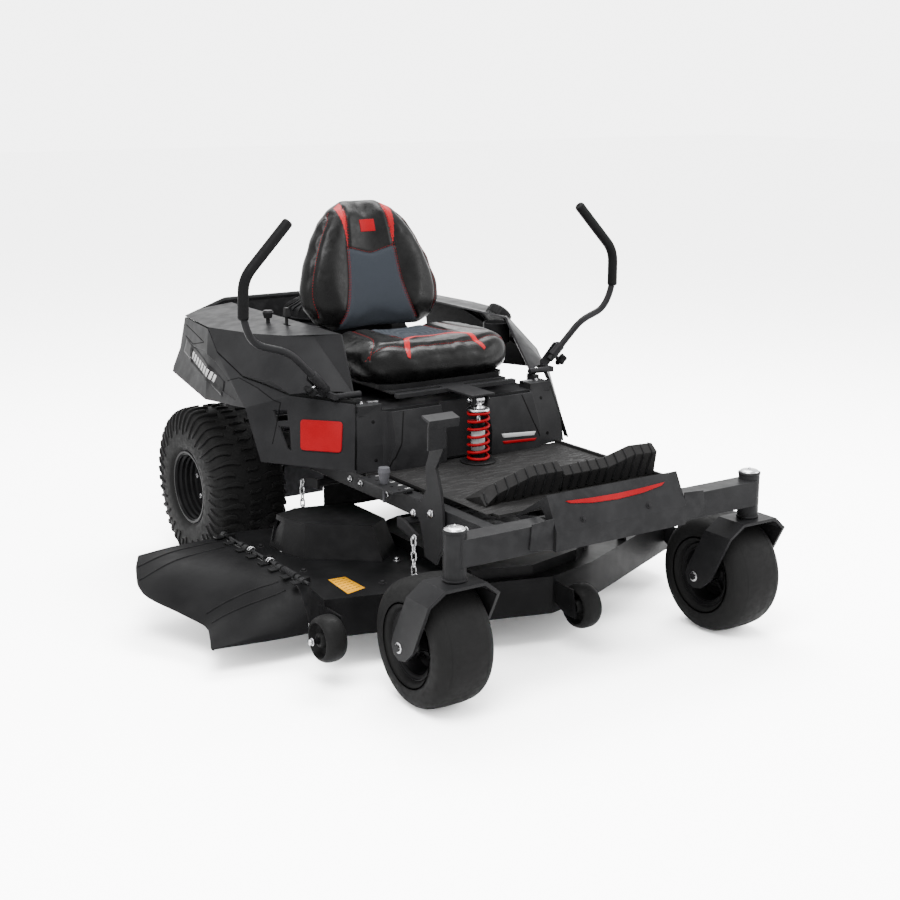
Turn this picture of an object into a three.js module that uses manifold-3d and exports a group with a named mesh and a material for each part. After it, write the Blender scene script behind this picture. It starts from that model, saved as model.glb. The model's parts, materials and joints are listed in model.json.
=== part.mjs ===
// Zero turn riding mower, in millimetres, +Z up, front towards -Y, operator's right towards -X.
// The plan origin of the drawing below is the caster pivot line on the centre plane, at ground height.
// The finished group is moved so that its own origin is the bottom centre of its bounding box.
import * as THREE from "three";
import { mergeVertices } from "three/addons/utils/BufferGeometryUtils.js";
import { ConvexGeometry } from "three/addons/geometries/ConvexGeometry.js";
import Module from "manifold-3d";

const wasm = await Module();
wasm.setup();

// ---------------------------------------------------------------- driving dimensions
const GAP = 0.3; // clearance between touching pieces
const FRONT_TYRE = { radius: 165, halfWidth: 82, seat: 77, sides: 20 };
const REAR_TYRE = { radius: 254, halfWidth: 122, seat: 102, sides: 24 };
const CASTER_X = 480;
const CASTER_TRAIL = 91;
const CASTER_TUBE = { radius: 29, bore: 16.4, bottom: 344, top: 472 };
const REAR_AXLE_Y = 1424;
const REAR_WHEEL_X = 430;
const BEAM = { halfDepth: 32, bottom: 382, top: 451 };
const RAIL = { outer: 330, width: 38, bottom: 375, top: 425, rearOuter: 265, rearEnd: 1640 };
const FLOOR = { halfWidth: 336, front: 128, rear: 664, bottom: 430, top: 438 };
const SHELL = 8; // wall of the moulded body panels
const DECK = { skirtBottom: 100, top: 205, wall: 5 };
const SHOCK = { y: 600, springRadius: 29, wire: 4.4, bottom: 446, top: 588, turns: 7 };
const LEVER = { tube: 10.5, grip: 15.5 };
const LEVER_SHAFT = { y: 757, z: 644 };
const LEVER_PIVOT = { x: 402, y: 785, z: 674 };
const GAUGE = { radius: 61, halfWidth: 30, axleZ: 132, sides: 14 };
const FUEL_CAP = { x: 387, y: 1060, z: 761, radius: 42, height: 36, tilt: 0.7 };
const CUP = { x: 334, y: 985, radius: 38, wall: 4, bottom: 700, rim: 762 };
const THROTTLE = { x: -330, y: 1130, z: 770 };
const PTO = { x: -352, y: 1210, z: 770 };

// ---------------------------------------------------------------- materials
const MATERIALS = {
  bodyPlastic: { color: 0x3d3e40, roughness: 0.55, metalness: 0.1 },
  framePaint: { color: 0x2e2f31, roughness: 0.5, metalness: 0.3 },
  deckPaint: { color: 0x1d1e20, roughness: 0.45, metalness: 0.3 },
  chutePlastic: { color: 0x2a2b2c, roughness: 0.65, metalness: 0.0 },
  rubber: { color: 0x1c1c1d, roughness: 0.85, metalness: 0.0 },
  rimPaint: { color: 0x161617, roughness: 0.4, metalness: 0.4 },
  vinyl: { color: 0x161617, roughness: 0.45, metalness: 0.0 },
  matBlack: { color: 0x252527, roughness: 0.8, metalness: 0.0 },
  red: { color: 0xb81d26, roughness: 0.4, metalness: 0.1 },
  zinc: { color: 0xb9bcc0, roughness: 0.3, metalness: 0.9 },
  castMetal: { color: 0x55575a, roughness: 0.6, metalness: 0.6 },
  knobGrey: { color: 0x6d6e70, roughness: 0.5, metalness: 0.0 },
};
const materialOf = (name) => new THREE.MeshStandardMaterial(MATERIALS[name]);

// ---------------------------------------------------------------- solids
const vec = (x, y, z) => new THREE.Vector3(x, y, z);

// One watertight indexed body: shared corners merged, collapsed triangles dropped.
function weld(geometry) {
  const bare = geometry.clone();
  bare.deleteAttribute("normal");
  bare.deleteAttribute("uv");
  const merged = mergeVertices(bare, 1e-3);
  const index = merged.index.array;
  const kept = [];
  for (let i = 0; i < index.length; i += 3) {
    const [a, b, c] = [index[i], index[i + 1], index[i + 2]];
    if (a !== b && b !== c && c !== a) kept.push(a, b, c);
  }
  merged.setIndex(kept);
  return merged;
}

function toSolid(geometry) {
  const body = weld(geometry);
  const vertProperties = new Float32Array(body.attributes.position.array);
  const triVerts = new Uint32Array(body.index.array);
  return new wasm.Manifold(new wasm.Mesh({ numProp: 3, vertProperties, triVerts }));
}

function toGeometry(solid) {
  const mesh = solid.getMesh();
  const geometry = new THREE.BufferGeometry();
  geometry.setAttribute("position", new THREE.BufferAttribute(new Float32Array(mesh.vertProperties), 3));
  geometry.setIndex(new THREE.BufferAttribute(new Uint32Array(mesh.triVerts), 1));
  return geometry;
}

const join = (...parts) => toGeometry(parts.map(toSolid).reduce((a, b) => a.add(b)));
const cut = (base, ...tools) => toGeometry(tools.map(toSolid).reduce((a, b) => a.subtract(b), toSolid(base)));
const meet = (a, b) => toGeometry(toSolid(a).intersect(toSolid(b)));

// Swaps left and right, and turns every triangle so that its face still points out.
function mirrored(geometry) {
  const copy = weld(geometry);
  copy.scale(-1, 1, 1);
  const index = copy.index.array;
  for (let i = 0; i < index.length; i += 3) [index[i], index[i + 1]] = [index[i + 1], index[i]];
  return copy;
}

function box(x0, x1, y0, y1, z0, z1) {
  const geometry = new THREE.BoxGeometry(x1 - x0, y1 - y0, z1 - z0);
  return geometry.translate((x0 + x1) / 2, (y0 + y1) / 2, (z0 + z1) / 2);
}

// A round bar between two points.
function rod(from, to, radius, sides = 12, endRadius = radius) {
  const along = to.clone().sub(from);
  const geometry = new THREE.CylinderGeometry(endRadius, radius, along.length(), sides);
  geometry.applyQuaternion(new THREE.Quaternion().setFromUnitVectors(vec(0, 1, 0), along.normalize()));
  const middle = from.clone().add(to).multiplyScalar(0.5);
  return geometry.translate(middle.x, middle.y, middle.z);
}

const AXIS_TURNS = {
  x: new THREE.Matrix4().makeBasis(vec(0, 1, 0), vec(0, 0, 1), vec(1, 0, 0)),
  y: new THREE.Matrix4().makeBasis(vec(0, 0, 1), vec(1, 0, 0), vec(0, 1, 0)),
  z: new THREE.Matrix4(),
};

// An outline pushed along an axis. Outlines are [y, z] for x, [x, z] for y and [x, y] for z.
function prism(axis, outline, from, to) {
  const corner = ([a, b]) => (axis === "y" ? new THREE.Vector2(b, a) : new THREE.Vector2(a, b));
  const shape = new THREE.Shape(outline.map(corner));
  const geometry = new THREE.ExtrudeGeometry(shape, { depth: to - from, bevelEnabled: false });
  return geometry.translate(0, 0, from).applyMatrix4(AXIS_TURNS[axis]);
}

// A round section swept along straight runs joined by bends.
function bentTube(points, radius, bend, sides = 10, bendSteps = 3) {
  const path = new THREE.CurvePath();
  let start = points[0].clone();
  for (let i = 1; i < points.length - 1; i += 1) {
    const into = points[i - 1].clone().sub(points[i]).setLength(bend).add(points[i]);
    const out = points[i + 1].clone().sub(points[i]).setLength(bend).add(points[i]);
    path.add(new THREE.LineCurve3(start, into));
    path.add(new THREE.QuadraticBezierCurve3(into, points[i].clone(), out));
    start = out;
  }
  path.add(new THREE.LineCurve3(start, points[points.length - 1].clone()));
  const stations = [points[0].clone()];
  for (const curve of path.curves) {
    const steps = curve.isLineCurve3 ? 1 : bendSteps;
    for (let s = 1; s <= steps; s += 1) stations.push(curve.getPoint(s / steps));
  }
  return sweep(stations, radius, sides);
}

// A round section carried through a list of stations, closed at both ends.
function sweep(stations, radius, sides) {
  const count = stations.length;
  const tangents = stations.map((p, i) => {
    const before = stations[Math.max(0, i - 1)];
    const after = stations[Math.min(count - 1, i + 1)];
    return after.clone().sub(before).normalize();
  });
  const seed = Math.abs(tangents[0].x) < 0.8 ? vec(1, 0, 0) : vec(0, 1, 0);
  let normal = seed.sub(tangents[0].clone().multiplyScalar(seed.dot(tangents[0]))).normalize();
  const positions = [];
  stations.forEach((station, i) => {
    const tangent = tangents[i];
    normal = normal.clone().sub(tangent.clone().multiplyScalar(normal.dot(tangent))).normalize();
    const across = tangent.clone().cross(normal);
    for (let s = 0; s < sides; s += 1) {
      const angle = (2 * Math.PI * s) / sides;
      const offset = normal.clone().multiplyScalar(Math.cos(angle));
      offset.add(across.clone().multiplyScalar(Math.sin(angle))).multiplyScalar(radius);
      positions.push(...station.clone().add(offset).toArray());
    }
  });
  const index = [];
  for (let i = 0; i + 1 < count; i += 1) {
    for (let s = 0; s < sides; s += 1) {
      const [a, b] = [i * sides + s, i * sides + ((s + 1) % sides)];
      index.push(a, b, a + sides, b, b + sides, a + sides);
    }
  }
  const last = (count - 1) * sides;
  for (let s = 1; s + 1 < sides; s += 1) {
    index.push(0, s + 1, s);
    index.push(last, last + s, last + s + 1);
  }
  const geometry = new THREE.BufferGeometry();
  geometry.setAttribute("position", new THREE.Float32BufferAttribute(positions, 3));
  geometry.setIndex(index);
  return geometry;
}

// A closed [x, radius] profile turned about the X axis, with a flat of the polygon at the bottom.
function turned(profile, sides) {
  const loop = profile.map(([x, radius]) => new THREE.Vector2(radius, x));
  const [first, last] = [loop[0], loop[loop.length - 1]];
  if (first.x > 0 || last.x > 0) loop.push(first.clone());
  const geometry = new THREE.LatheGeometry(loop, sides, Math.PI / sides);
  return outward(geometry.applyMatrix4(AXIS_TURNS.z).rotateZ(-Math.PI / 2));
}

// Turns a body inside out when its volume comes out negative.
function outward(geometry) {
  const body = weld(geometry);
  const p = body.attributes.position;
  const index = body.index.array;
  const [a, b, c] = [vec(), vec(), vec()];
  let volume = 0;
  for (let i = 0; i < index.length; i += 3) {
    a.fromBufferAttribute(p, index[i]);
    b.fromBufferAttribute(p, index[i + 1]);
    c.fromBufferAttribute(p, index[i + 2]);
    volume += a.dot(b.cross(c));
  }
  if (volume < 0) {
    for (let i = 0; i < index.length; i += 3) [index[i], index[i + 1]] = [index[i + 1], index[i]];
  }
  return body;
}

// A faceted skin given by corner points and faces, thickened by one offset vector.
function skin(corners, faces, offset) {
  const shift = vec(...offset);
  const outer = corners.map((c) => vec(...c));
  const inner = outer.map((c) => c.clone().add(shift));
  const positions = [...outer, ...inner].flatMap((c) => c.toArray());
  const count = corners.length;
  const index = [];
  const edges = new Map();
  for (const face of faces) {
    for (let i = 1; i + 1 < face.length; i += 1) {
      index.push(face[0], face[i], face[i + 1]);
      index.push(face[0] + count, face[i + 1] + count, face[i] + count);
    }
    face.forEach((a, i) => {
      const b = face[(i + 1) % face.length];
      if (edges.has(`${b},${a}`)) edges.delete(`${b},${a}`);
      else edges.set(`${a},${b}`, [a, b]);
    });
  }
  for (const [a, b] of edges.values()) index.push(b, a, a + count, b, a + count, b + count);
  const geometry = new THREE.BufferGeometry();
  geometry.setAttribute("position", new THREE.Float32BufferAttribute(positions, 3));
  geometry.setIndex(index);
  return outward(geometry);
}

const hull = (points) => new ConvexGeometry(points.map((p) => vec(...p)));
const moved = (geometry, x, y, z) => geometry.clone().translate(x, y, z);

const mower = new THREE.Group();

function add(name, geometry, material, x = 0, y = 0, z = 0) {
  const body = weld(geometry);
  body.computeVertexNormals();
  const mesh = new THREE.Mesh(body, materialOf(material));
  mesh.name = name;
  mesh.position.set(x, y, z);
  mower.add(mesh);
}

// Adds the left piece as drawn and the right piece as its mirror image.
function addPair(name, geometry, material, x = 0, y = 0, z = 0) {
  add(`${name}_left`, geometry, material, x, y, z);
  add(`${name}_right`, mirrored(geometry), material, -x, y, z);
}

// ---------------------------------------------------------------- wheels
function scaledToFlats(profile, sides) {
  return profile.map(([x, radius]) => [x, radius / Math.cos(Math.PI / sides)]);
}

function frontTyre() {
  const { radius: r, halfWidth: w, seat, sides } = FRONT_TYRE;
  const side = [[62, seat], [62, 90], [w - 3, 100], [w, 122], [w - 7, 145], [w - 26, 160], [26, r]];
  const inside = [[50, seat], [w - 14, 104], [w - 20, 140], [38, r - 12]];
  return tyre(side, inside, sides);
}

function rearTyre() {
  const { radius: r, halfWidth: w, seat, sides } = REAR_TYRE;
  const side = [[107, seat], [107, 118], [w - 2, 132], [w, 170], [w - 2, 212], [w - 12, 242], [w - 34, r]];
  const inside = [[93, seat], [w - 16, 136], [w - 16, 200], [76, r - 18]];
  return tyre(side, inside, sides);
}

// The casing is open towards the rim. Each list runs from the bead to the crown on one side.
function tyre(side, inside, sides) {
  const flip = ([x, radius]) => [-x, radius];
  const outer = [...side, ...side.map(flip).reverse()];
  const inner = [...inside, ...inside.map(flip).reverse()].reverse();
  return turned(scaledToFlats([...outer, ...inner], sides), sides);
}

function frontRim() {
  const seat = FRONT_TYRE.seat - 1.2;
  const half = [[62.6, seat], [62.6, 88], [66, 88], [66, 71], [3, 68], [3, 22], [58, 21], [58, 10.6]];
  const flip = ([x, radius]) => [-x, radius];
  return turned([...half, ...half.map(flip).reverse()], 14);
}

function rearRim() {
  const seat = REAR_TYRE.seat - 1.6;
  const profile = [
    [46, 0], [46, 28], [38, 32], [38, 92], [112, 96], [112, 115], [107.8, 115], [107.8, seat],
    [-107.8, seat], [-107.8, 115], [-112, 115], [-112, 96], [30, 92], [30, 36], [-80, 30], [-80, 12.5],
    [-124, 12.5], [-124, 0],
  ];
  return turned(profile, 16);
}

const frontAxleZ = FRONT_TYRE.radius;
const rearAxleZ = REAR_TYRE.radius;

for (const [side, sign] of [["left", 1], ["right", -1]]) {
  add(`front_tyre_${side}`, frontTyre(), "rubber", sign * CASTER_X, CASTER_TRAIL, frontAxleZ);
  add(`front_rim_${side}`, frontRim(), "rimPaint", sign * CASTER_X, CASTER_TRAIL, frontAxleZ);
}
addPair("rear_tyre", rearTyre(), "rubber", REAR_WHEEL_X, REAR_AXLE_Y, rearAxleZ);
addPair("rear_rim", rearRim(), "rimPaint", REAR_WHEEL_X, REAR_AXLE_Y, rearAxleZ);

// ---------------------------------------------------------------- casters
// A bent strap: level top plate, sloping shoulders and two arms that run back to the axle.
function casterFork() {
  const plateTop = CASTER_TUBE.bottom - 1;
  const outer = [[-60, plateTop], [-103, 308], [-103, 130]];
  const inner = [[-94, 130], [-94, 304], [-56, plateTop - 8.5]];
  const flip = ([x, z]) => [-x, z];
  const section = [...outer, ...inner, ...inner.map(flip).reverse(), ...outer.map(flip).reverse()];
  const side = [
    [-50, 350], [-50, plateTop - 4], [-44, 307], [28, 168], [62, 138], [91, 132], [114, 142],
    [125, 166], [116, 192], [52, 310], [48, plateTop - 4], [48, 350],
  ];
  const strap = meet(prism("y", section, -60, 130), prism("x", side, -110, 110));
  const spindle = rod(vec(0, 0, plateTop - 4), vec(0, 0, CASTER_TUBE.top - 14), 16, 14);
  const axle = rod(vec(-108, CASTER_TRAIL, frontAxleZ), vec(108, CASTER_TRAIL, frontAxleZ), 9.5, 12);
  const washer = rod(vec(0, 0, plateTop - 4), vec(0, 0, CASTER_TUBE.bottom - GAP), 24, 16);
  return join(strap, spindle, axle, washer);
}

addPair("caster_fork", casterFork(), "framePaint", CASTER_X, 0, 0);

// ---------------------------------------------------------------- frame
function frontAxleBeam() {
  const { radius, bore, bottom, top } = CASTER_TUBE;
  const beam = box(-CASTER_X, CASTER_X, -BEAM.halfDepth, BEAM.halfDepth, BEAM.bottom, BEAM.top);
  const at = (sign, z) => vec(sign * CASTER_X, 0, z);
  const tubes = [-1, 1].map((sign) => rod(at(sign, bottom), at(sign, top), radius, 20));
  const bores = [-1, 1].map((sign) => rod(at(sign, bottom - 1), at(sign, top - 8), bore, 16));
  return cut(join(beam, ...tubes), ...bores);
}

// Runs back from the beam, then steps in between the drive wheels.
function frameRail() {
  const { outer, width, bottom, top, rearOuter, rearEnd } = RAIL;
  const front = BEAM.halfDepth + GAP;
  const plan = [
    [outer, front], [outer, 1000], [rearOuter, 1110], [rearOuter, rearEnd],
    [rearOuter - width, rearEnd], [rearOuter - width, 1098], [outer - width, 988], [outer - width, front],
  ];
  return prism("z", plan, bottom, top);
}

// A folded plate across the nose with a pierced gusset at each end that straddles the beam.
function bumperPlate() {
  const half = 212;
  const wall = 6;
  const fold = [[-3, 513], [-46, 429], [-45, 378], [-39, 378], [-40, 428], [3, 510]];
  const gusset = [
    [-3, 511], [-45, 429], [-44, 378], [-33, 378], [-33, BEAM.top + GAP], [33, BEAM.top + GAP],
    [33, 428], [70, 422], [127, 429],
  ];
  const window = [[100, 436], [18, 478], [0, 456]];
  const cheek = (x) => cut(prism("x", gusset, x, x + wall), prism("x", window, x - 1, x + wall + 1));
  const plate = join(prism("x", fold, -half, half), cheek(-half), cheek(half - wall));
  const depth = BEAM.halfDepth + GAP;
  return cut(plate, box(-CASTER_X, CASTER_X, -depth, depth, BEAM.bottom - 5, BEAM.top + GAP));
}

function rearPlate() {
  const { rearOuter, rearEnd, top } = RAIL;
  const half = rearOuter + 32;
  const plate = box(-half, half, rearEnd + GAP, rearEnd + 8, 330, top + 8);
  const flange = box(-half, half, rearEnd - 60, rearEnd + 8, top + GAP, top + 8);
  return join(plate, flange);
}

function engineGuard() {
  const y = RAIL.rearEnd + 2;
  const foot = RAIL.top + 8 + GAP;
  const half = [[290, foot], [290, 640], [392, 700], [396, 768], [296, 804]];
  const outline = [...half, ...half.map(([x, z]) => [-x, z]).reverse()];
  const opening = [[-236, 470], [236, 470], [236, 600], [-236, 600]];
  const wall = cut(prism("y", outline, y - 3, y + 3), prism("y", opening, y - 4, y + 4));
  const rail = bentTube([vec(-392, y, 770), vec(-294, y, 804), vec(294, y, 804), vec(392, y, 770)], 8, 9, 8, 2);
  return join(wall, rail);
}

add("front_axle_beam", frontAxleBeam(), "framePaint");
addPair("frame_rail", frameRail(), "framePaint");
add("bumper_plate", bumperPlate(), "framePaint");
add("rear_hitch_plate", rearPlate(), "framePaint");
add("engine_guard", engineGuard(), "framePaint");

// ---------------------------------------------------------------- floor
function floorPan() {
  const { halfWidth: w, front, rear, bottom, top } = FLOOR;
  const plan = [[-262, front], [w, front], [w, rear], [-w, rear], [-w, 655], [-288, 655], [-288, 420]];
  const rim = [[w - 10, front + 20], [w, front + 20], [w, rear], [w - 10, rear]];
  const tray = join(prism("z", plan, bottom, top), prism("z", rim, top - 2, top + 8));
  return join(tray, box(300, 322, front + 20, rear - 10, RAIL.top + GAP, bottom + 1));
}

// Toe rests: hollow-backed wedges with a step in their top edge along X.
function toeRest(stations) {
  const section = ([x, top]) => [
    [x, 200, top - 22], [x, 226, top], [x, 236, top - 6], [x, 300, FLOOR.top + GAP], [x, 212, FLOOR.top + GAP],
  ];
  const bays = stations.slice(1).map((station, i) => hull([...section(stations[i]), ...section(station)]));
  return bays.length > 1 ? join(...bays) : bays[0];
}

add("floor_pan", floorPan(), "matBlack");
add("toe_rest_left", toeRest([[4, 508], [157, 510], [243, 531], [325.5, 528]]), "matBlack");
add("toe_rest_right", toeRest([[-252, 462], [-215, 490], [-102, 522], [-4, 522]]), "matBlack");

// ---------------------------------------------------------------- body panels
// Corners of the left side; the right side is the mirror image.
const SEAM = [[343, 715, 626], [450, 889, 632], [480, 994, 650], [500, 1086, 658], [500, 1259, 705],
  [490, 1342, 766], [456, 1596, 766]];
const FENDER_LIP = [[376, 659, 448], [540, 904, 448], [545, 985, 591], [545, 1261, 566], [500, 1612, 591]];

function sideFender() {
  const corners = [...SEAM, ...FENDER_LIP, [474, 1602, 669], [492, 1620, 608]];
  const faces = [
    [7, 8, 1, 0], [8, 9, 1], [9, 2, 1], [9, 3, 2], [9, 10, 4, 3], [10, 12, 5, 4], [12, 6, 5], [10, 13, 12],
    [10, 11, 13],
  ];
  const panel = skin(corners, faces, [-SHELL, 0, 0]);
  const vent = (outline) => prism("x", outline, 380, 560);
  const front = [[884, 593], [918, 590], [900, 561], [872, 566]];
  const rear = [[862, 549], [893, 549], [848, 488], [836, 486]];
  return cut(panel, vent(front), vent(rear), scoop(corners, faces));
}

// Long recess along the fender, pressed 4 mm into the panel.
function scoop(corners, faces) {
  const outline = [[1462, 646], [1476, 692], [1342, 700], [1130, 645], [1050, 612], [1060, 600], [1200, 612]];
  const kept = moved(skin(corners, faces, [-80, 0, 0]), -4, 0, 0);
  return cut(prism("x", outline, 470, 560), kept);
}

// The ridge is the line where the flat top turns down to the side, from the seat side outwards.
function upperShell(ridge) {
  const lift = 5;
  const low = SEAM.map(([x, y, z]) => [x, y, z + lift]);
  const inner = 290;
  const corners = [
    [340, 784, 650], [404, 826, 650], ...low.slice(1),
    [404, 1600, 788], [426, 1380, 783], [447, 1119, 778], ...ridge, [inner, 872, 797],
    [inner, 1600, 800], [312, 770, 645], [474, 955, 668],
  ];
  const faces = [
    [15, 0, 12, 13], [0, 1, 12], [1, 2, 12], [2, 16, 12], [2, 3, 16], [3, 4, 16], [4, 10, 16], [16, 10, 11],
    [16, 11, 12], [4, 5, 10], [5, 6, 10], [6, 9, 10], [6, 7, 8, 9], [13, 12, 11], [14, 13, 11], [14, 11, 10],
    [14, 10, 9], [14, 9, 8],
  ];
  return skin(corners, faces, [-SHELL * 0.6, 0, -SHELL / 2]);
}

// The left shell carries a cup holder and a notch for the filler cap.
function leftShell() {
  const { x, y, radius, wall, bottom, rim } = CUP;
  const cup = rod(vec(x, y, bottom), vec(x, y, rim), radius + wall, 18);
  const well = rod(vec(x, y, bottom + wall), vec(x, y, rim + 80), radius, 18);
  const notch = capFrame(rod(vec(0, 0, -30), vec(0, 0, 90), FUEL_CAP.radius + 3, 20));
  return cut(join(upperShell([[390, 1008, 774], [345, 944, 770]]), cup), well, notch);
}

// The right shell has a slot for the throttle lever and a hole for the blade clutch knob.
function rightShell() {
  const slot = box(THROTTLE.x - 4, THROTTLE.x + 4, THROTTLE.y - 22, THROTTLE.y + 22, 740, 830);
  const hole = rod(vec(PTO.x, PTO.y, 740), vec(PTO.x, PTO.y, 830), 7.5, 14);
  return cut(mirrored(upperShell([[398, 1008, 783], [342, 944, 788]])), slot, hole);
}

// Places a piece drawn along +Z on the tilted axis of the filler neck.
function capFrame(geometry) {
  return geometry.clone().rotateY(FUEL_CAP.tilt).translate(FUEL_CAP.x, FUEL_CAP.y, FUEL_CAP.z);
}

addPair("side_fender", sideFender(), "bodyPlastic");
add("upper_shell_left", leftShell(), "bodyPlastic");
add("upper_shell_right", rightShell(), "bodyPlastic");

// The seat tower: front wall with a channel for the damper, and the deck that carries the seat mounts.
function seatTower() {
  const bottom = FLOOR.top + GAP;
  const levels = [
    { z: bottom, centre: 642, wing: 662, channel: 690, half: 376, edge: 270 },
    { z: 512, centre: 640, wing: 668, channel: 690, half: 366, edge: 264 },
    { z: 600, centre: 672, wing: 700, channel: 700, half: 350, edge: 258 },
  ];
  const row = ({ z, centre, wing, channel, half, edge }) => {
    const right = [[-half + 12, wing + 6, z], [-edge - 12, wing, z], [-edge + 6, centre + 18, z],
      [-edge + 14, centre, z], [-78, centre, z], [-68, channel, z]];
    return [...right, ...right.map(([x, y, height]) => [-x, y, height]).reverse()];
  };
  const corners = levels.flatMap(row);
  const wide = corners.length / levels.length;
  const faces = [];
  for (let level = 0; level + 1 < levels.length; level += 1) {
    for (let i = 0; i + 1 < wide; i += 1) {
      const a = level * wide + i;
      faces.push([a, a + 1, a + 1 + wide, a + wide]);
    }
  }
  const wall = skin(corners, faces, [0, SHELL, 0]);
  const roof = box(-286, 286, 702, 1130, 592, 602);
  const wings = [-1, 1].map((sign) => box(sign * 296 - 38, sign * 296 + 38, 700, 756, 592, 620));
  const bearings = [-1, 1].map((sign) => box(sign * 310 - 10, sign * 310 + 10, LEVER_SHAFT.y - 18,
    LEVER_SHAFT.y + 18, 602, LEVER_SHAFT.z - 9 - GAP));
  const legs = [-1, 1].map((sign) => box(sign * 300 - 18, sign * 300 + 18, 1060, 1130, RAIL.top + GAP, 594));
  return join(wall, roof, ...wings, ...bearings, ...legs);
}

add("seat_tower", seatTower(), "bodyPlastic");

// ---------------------------------------------------------------- engine and drive
function engineBlock() {
  const crankcase = prism("z", [[-130, 1290], [130, 1290], [160, 1340], [160, 1500], [130, 1545],
    [-130, 1545], [-160, 1500], [-160, 1340]], RAIL.top + 12, 560);
  const cylinder = (sign) => {
    const barrel = box(60, 222, -62, 62, 452, 556).rotateZ(sign > 0 ? 0.45 : Math.PI - 0.45);
    return barrel.translate(0, 1400, 0);
  };
  const feet = box(-262, 262, 1300, 1330, RAIL.top + GAP, RAIL.top + 14);
  return join(crankcase, cylinder(1), cylinder(-1), feet, box(-262, 262, 1500, 1530, RAIL.top + GAP, RAIL.top + 14));
}

function engineShroud() {
  const footprint = (inset, z) => [[-232, 1318], [-150, 1306], [150, 1306], [232, 1318], [232, 1520],
    [150, 1596], [-150, 1596], [-232, 1520]].map(([x, y]) => [x * (1 - inset), 1440 + (y - 1440) * (1 - inset), z]);
  const outer = hull([...footprint(0, 590), ...footprint(0, 690), ...footprint(0.14, 742)]);
  const inner = hull([...footprint(0.05, 580), ...footprint(0.05, 686), ...footprint(0.18, 732)]);
  const dome = rod(vec(-40, 1450, 735), vec(-40, 1450, 790), 112, 20);
  const crown = rod(vec(-40, 1450, 790), vec(-40, 1450, 814), 112, 20, 70);
  return join(cut(outer, inner), dome, crown);
}

function muffler() {
  const can = rod(vec(-165, 1598, 530), vec(165, 1598, 530), 34, 14);
  const outlet = rod(vec(120, 1598, 510), vec(120, 1598, 470), 13, 10);
  return join(can, outlet);
}

function transaxle() {
  const hub = vec(301, REAR_AXLE_Y, rearAxleZ);
  const gearbox = hull([[100, 1350, 190], [100, 1490, 190], [252, 1350, 190], [252, 1490, 190], [100, 1330, 300],
    [100, 1500, 300], [252, 1330, 300], [252, 1500, 300], [130, 1360, 352], [130, 1480, 352], [240, 1360, 352],
    [240, 1480, 352]]);
  const neck = rod(vec(240, REAR_AXLE_Y, rearAxleZ), hub, 32, 14);
  const mount = box(228, 262, 1390, 1450, 340, RAIL.bottom - GAP);
  return join(gearbox, neck, mount);
}

add("engine_block", engineBlock(), "castMetal");
add("engine_shroud", engineShroud(), "bodyPlastic");
add("muffler", muffler(), "castMetal");
addPair("transaxle", transaxle(), "castMetal");

// Filler cap on the left shell, tipped outwards with the shell's shoulder.
function fuelCap() {
  const { radius, height } = FUEL_CAP;
  const body = rod(vec(0, 0, 0), vec(0, 0, height - 6), radius, 16);
  return capFrame(join(body, rod(vec(0, 0, height - 7), vec(0, 0, height), radius - 2, 16, radius - 12)));
}

// A flat lever with a moulded handle; it turns about the X axis below the shell.
function throttleLever() {
  const blade = box(-2, 2, -7, 7, -10, 50);
  const handle = hull([[-9, -11, 46], [9, -11, 46], [-9, 11, 46], [9, 11, 46], [-6, -7, 74], [6, -7, 74],
    [-6, 7, 74], [6, 7, 74]]);
  return join(blade, handle);
}

function ptoKnob() {
  const stem = rod(vec(0, 0, 0), vec(0, 0, 36), 6, 12);
  return join(stem, rod(vec(0, 0, 35), vec(0, 0, 52), 12, 14, 17), rod(vec(0, 0, 51), vec(0, 0, 58), 17, 14, 13));
}

add("fuel_cap", fuelCap(), "rubber");
add("throttle_lever", throttleLever(), "matBlack", THROTTLE.x, THROTTLE.y, THROTTLE.z);
add("pto_knob", ptoKnob(), "matBlack", PTO.x, PTO.y, PTO.z);

// ---------------------------------------------------------------- seat and its suspension
const SEAT_Z = 640;

function seatPlatform() {
  const plate = box(-200, 200, 745, 1120, SEAT_Z - 8, SEAT_Z);
  const tongue = box(-40, 40, SHOCK.y - 26, 750, SEAT_Z - 6, SEAT_Z);
  const crossbar = box(-205, 205, 700, 722, SEAT_Z - 12, SEAT_Z);
  const cheek = (x) => box(x - 3, x + 3, SHOCK.y - 18, SHOCK.y + 18, SEAT_Z - 34, SEAT_Z - 4);
  const pin = rod(vec(-34, SHOCK.y, SEAT_Z - 20), vec(34, SHOCK.y, SEAT_Z - 20), 7, 10);
  return join(plate, tongue, crossbar, cheek(-24), cheek(24), pin);
}

function damperRod() {
  const y = SHOCK.y;
  const eye = box(-14, 14, y - 15, y + 15, SEAT_Z - 36, SEAT_Z - 7);
  const bore = rod(vec(-20, y, SEAT_Z - 20), vec(20, y, SEAT_Z - 20), 7.3, 12);
  const perch = rod(vec(0, y, SHOCK.top + GAP), vec(0, y, SHOCK.top + 8), SHOCK.springRadius + 3, 18);
  const stem = rod(vec(0, y, SHOCK.top + 7), vec(0, y, SEAT_Z - 34), 9, 12);
  return cut(join(eye, perch, stem, rod(vec(0, y, 530), vec(0, y, SHOCK.top + 4), 6, 12)), bore);
}

function damperBody() {
  const y = SHOCK.y;
  const tube = rod(vec(0, y, FLOOR.top + 3), vec(0, y, 556), 19, 16);
  const base = rod(vec(0, y, FLOOR.top + GAP), vec(0, y, SHOCK.bottom - GAP), 52, 20);
  return cut(join(tube, base), rod(vec(0, y, 500), vec(0, y, 560), 6.4, 12));
}

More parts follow.
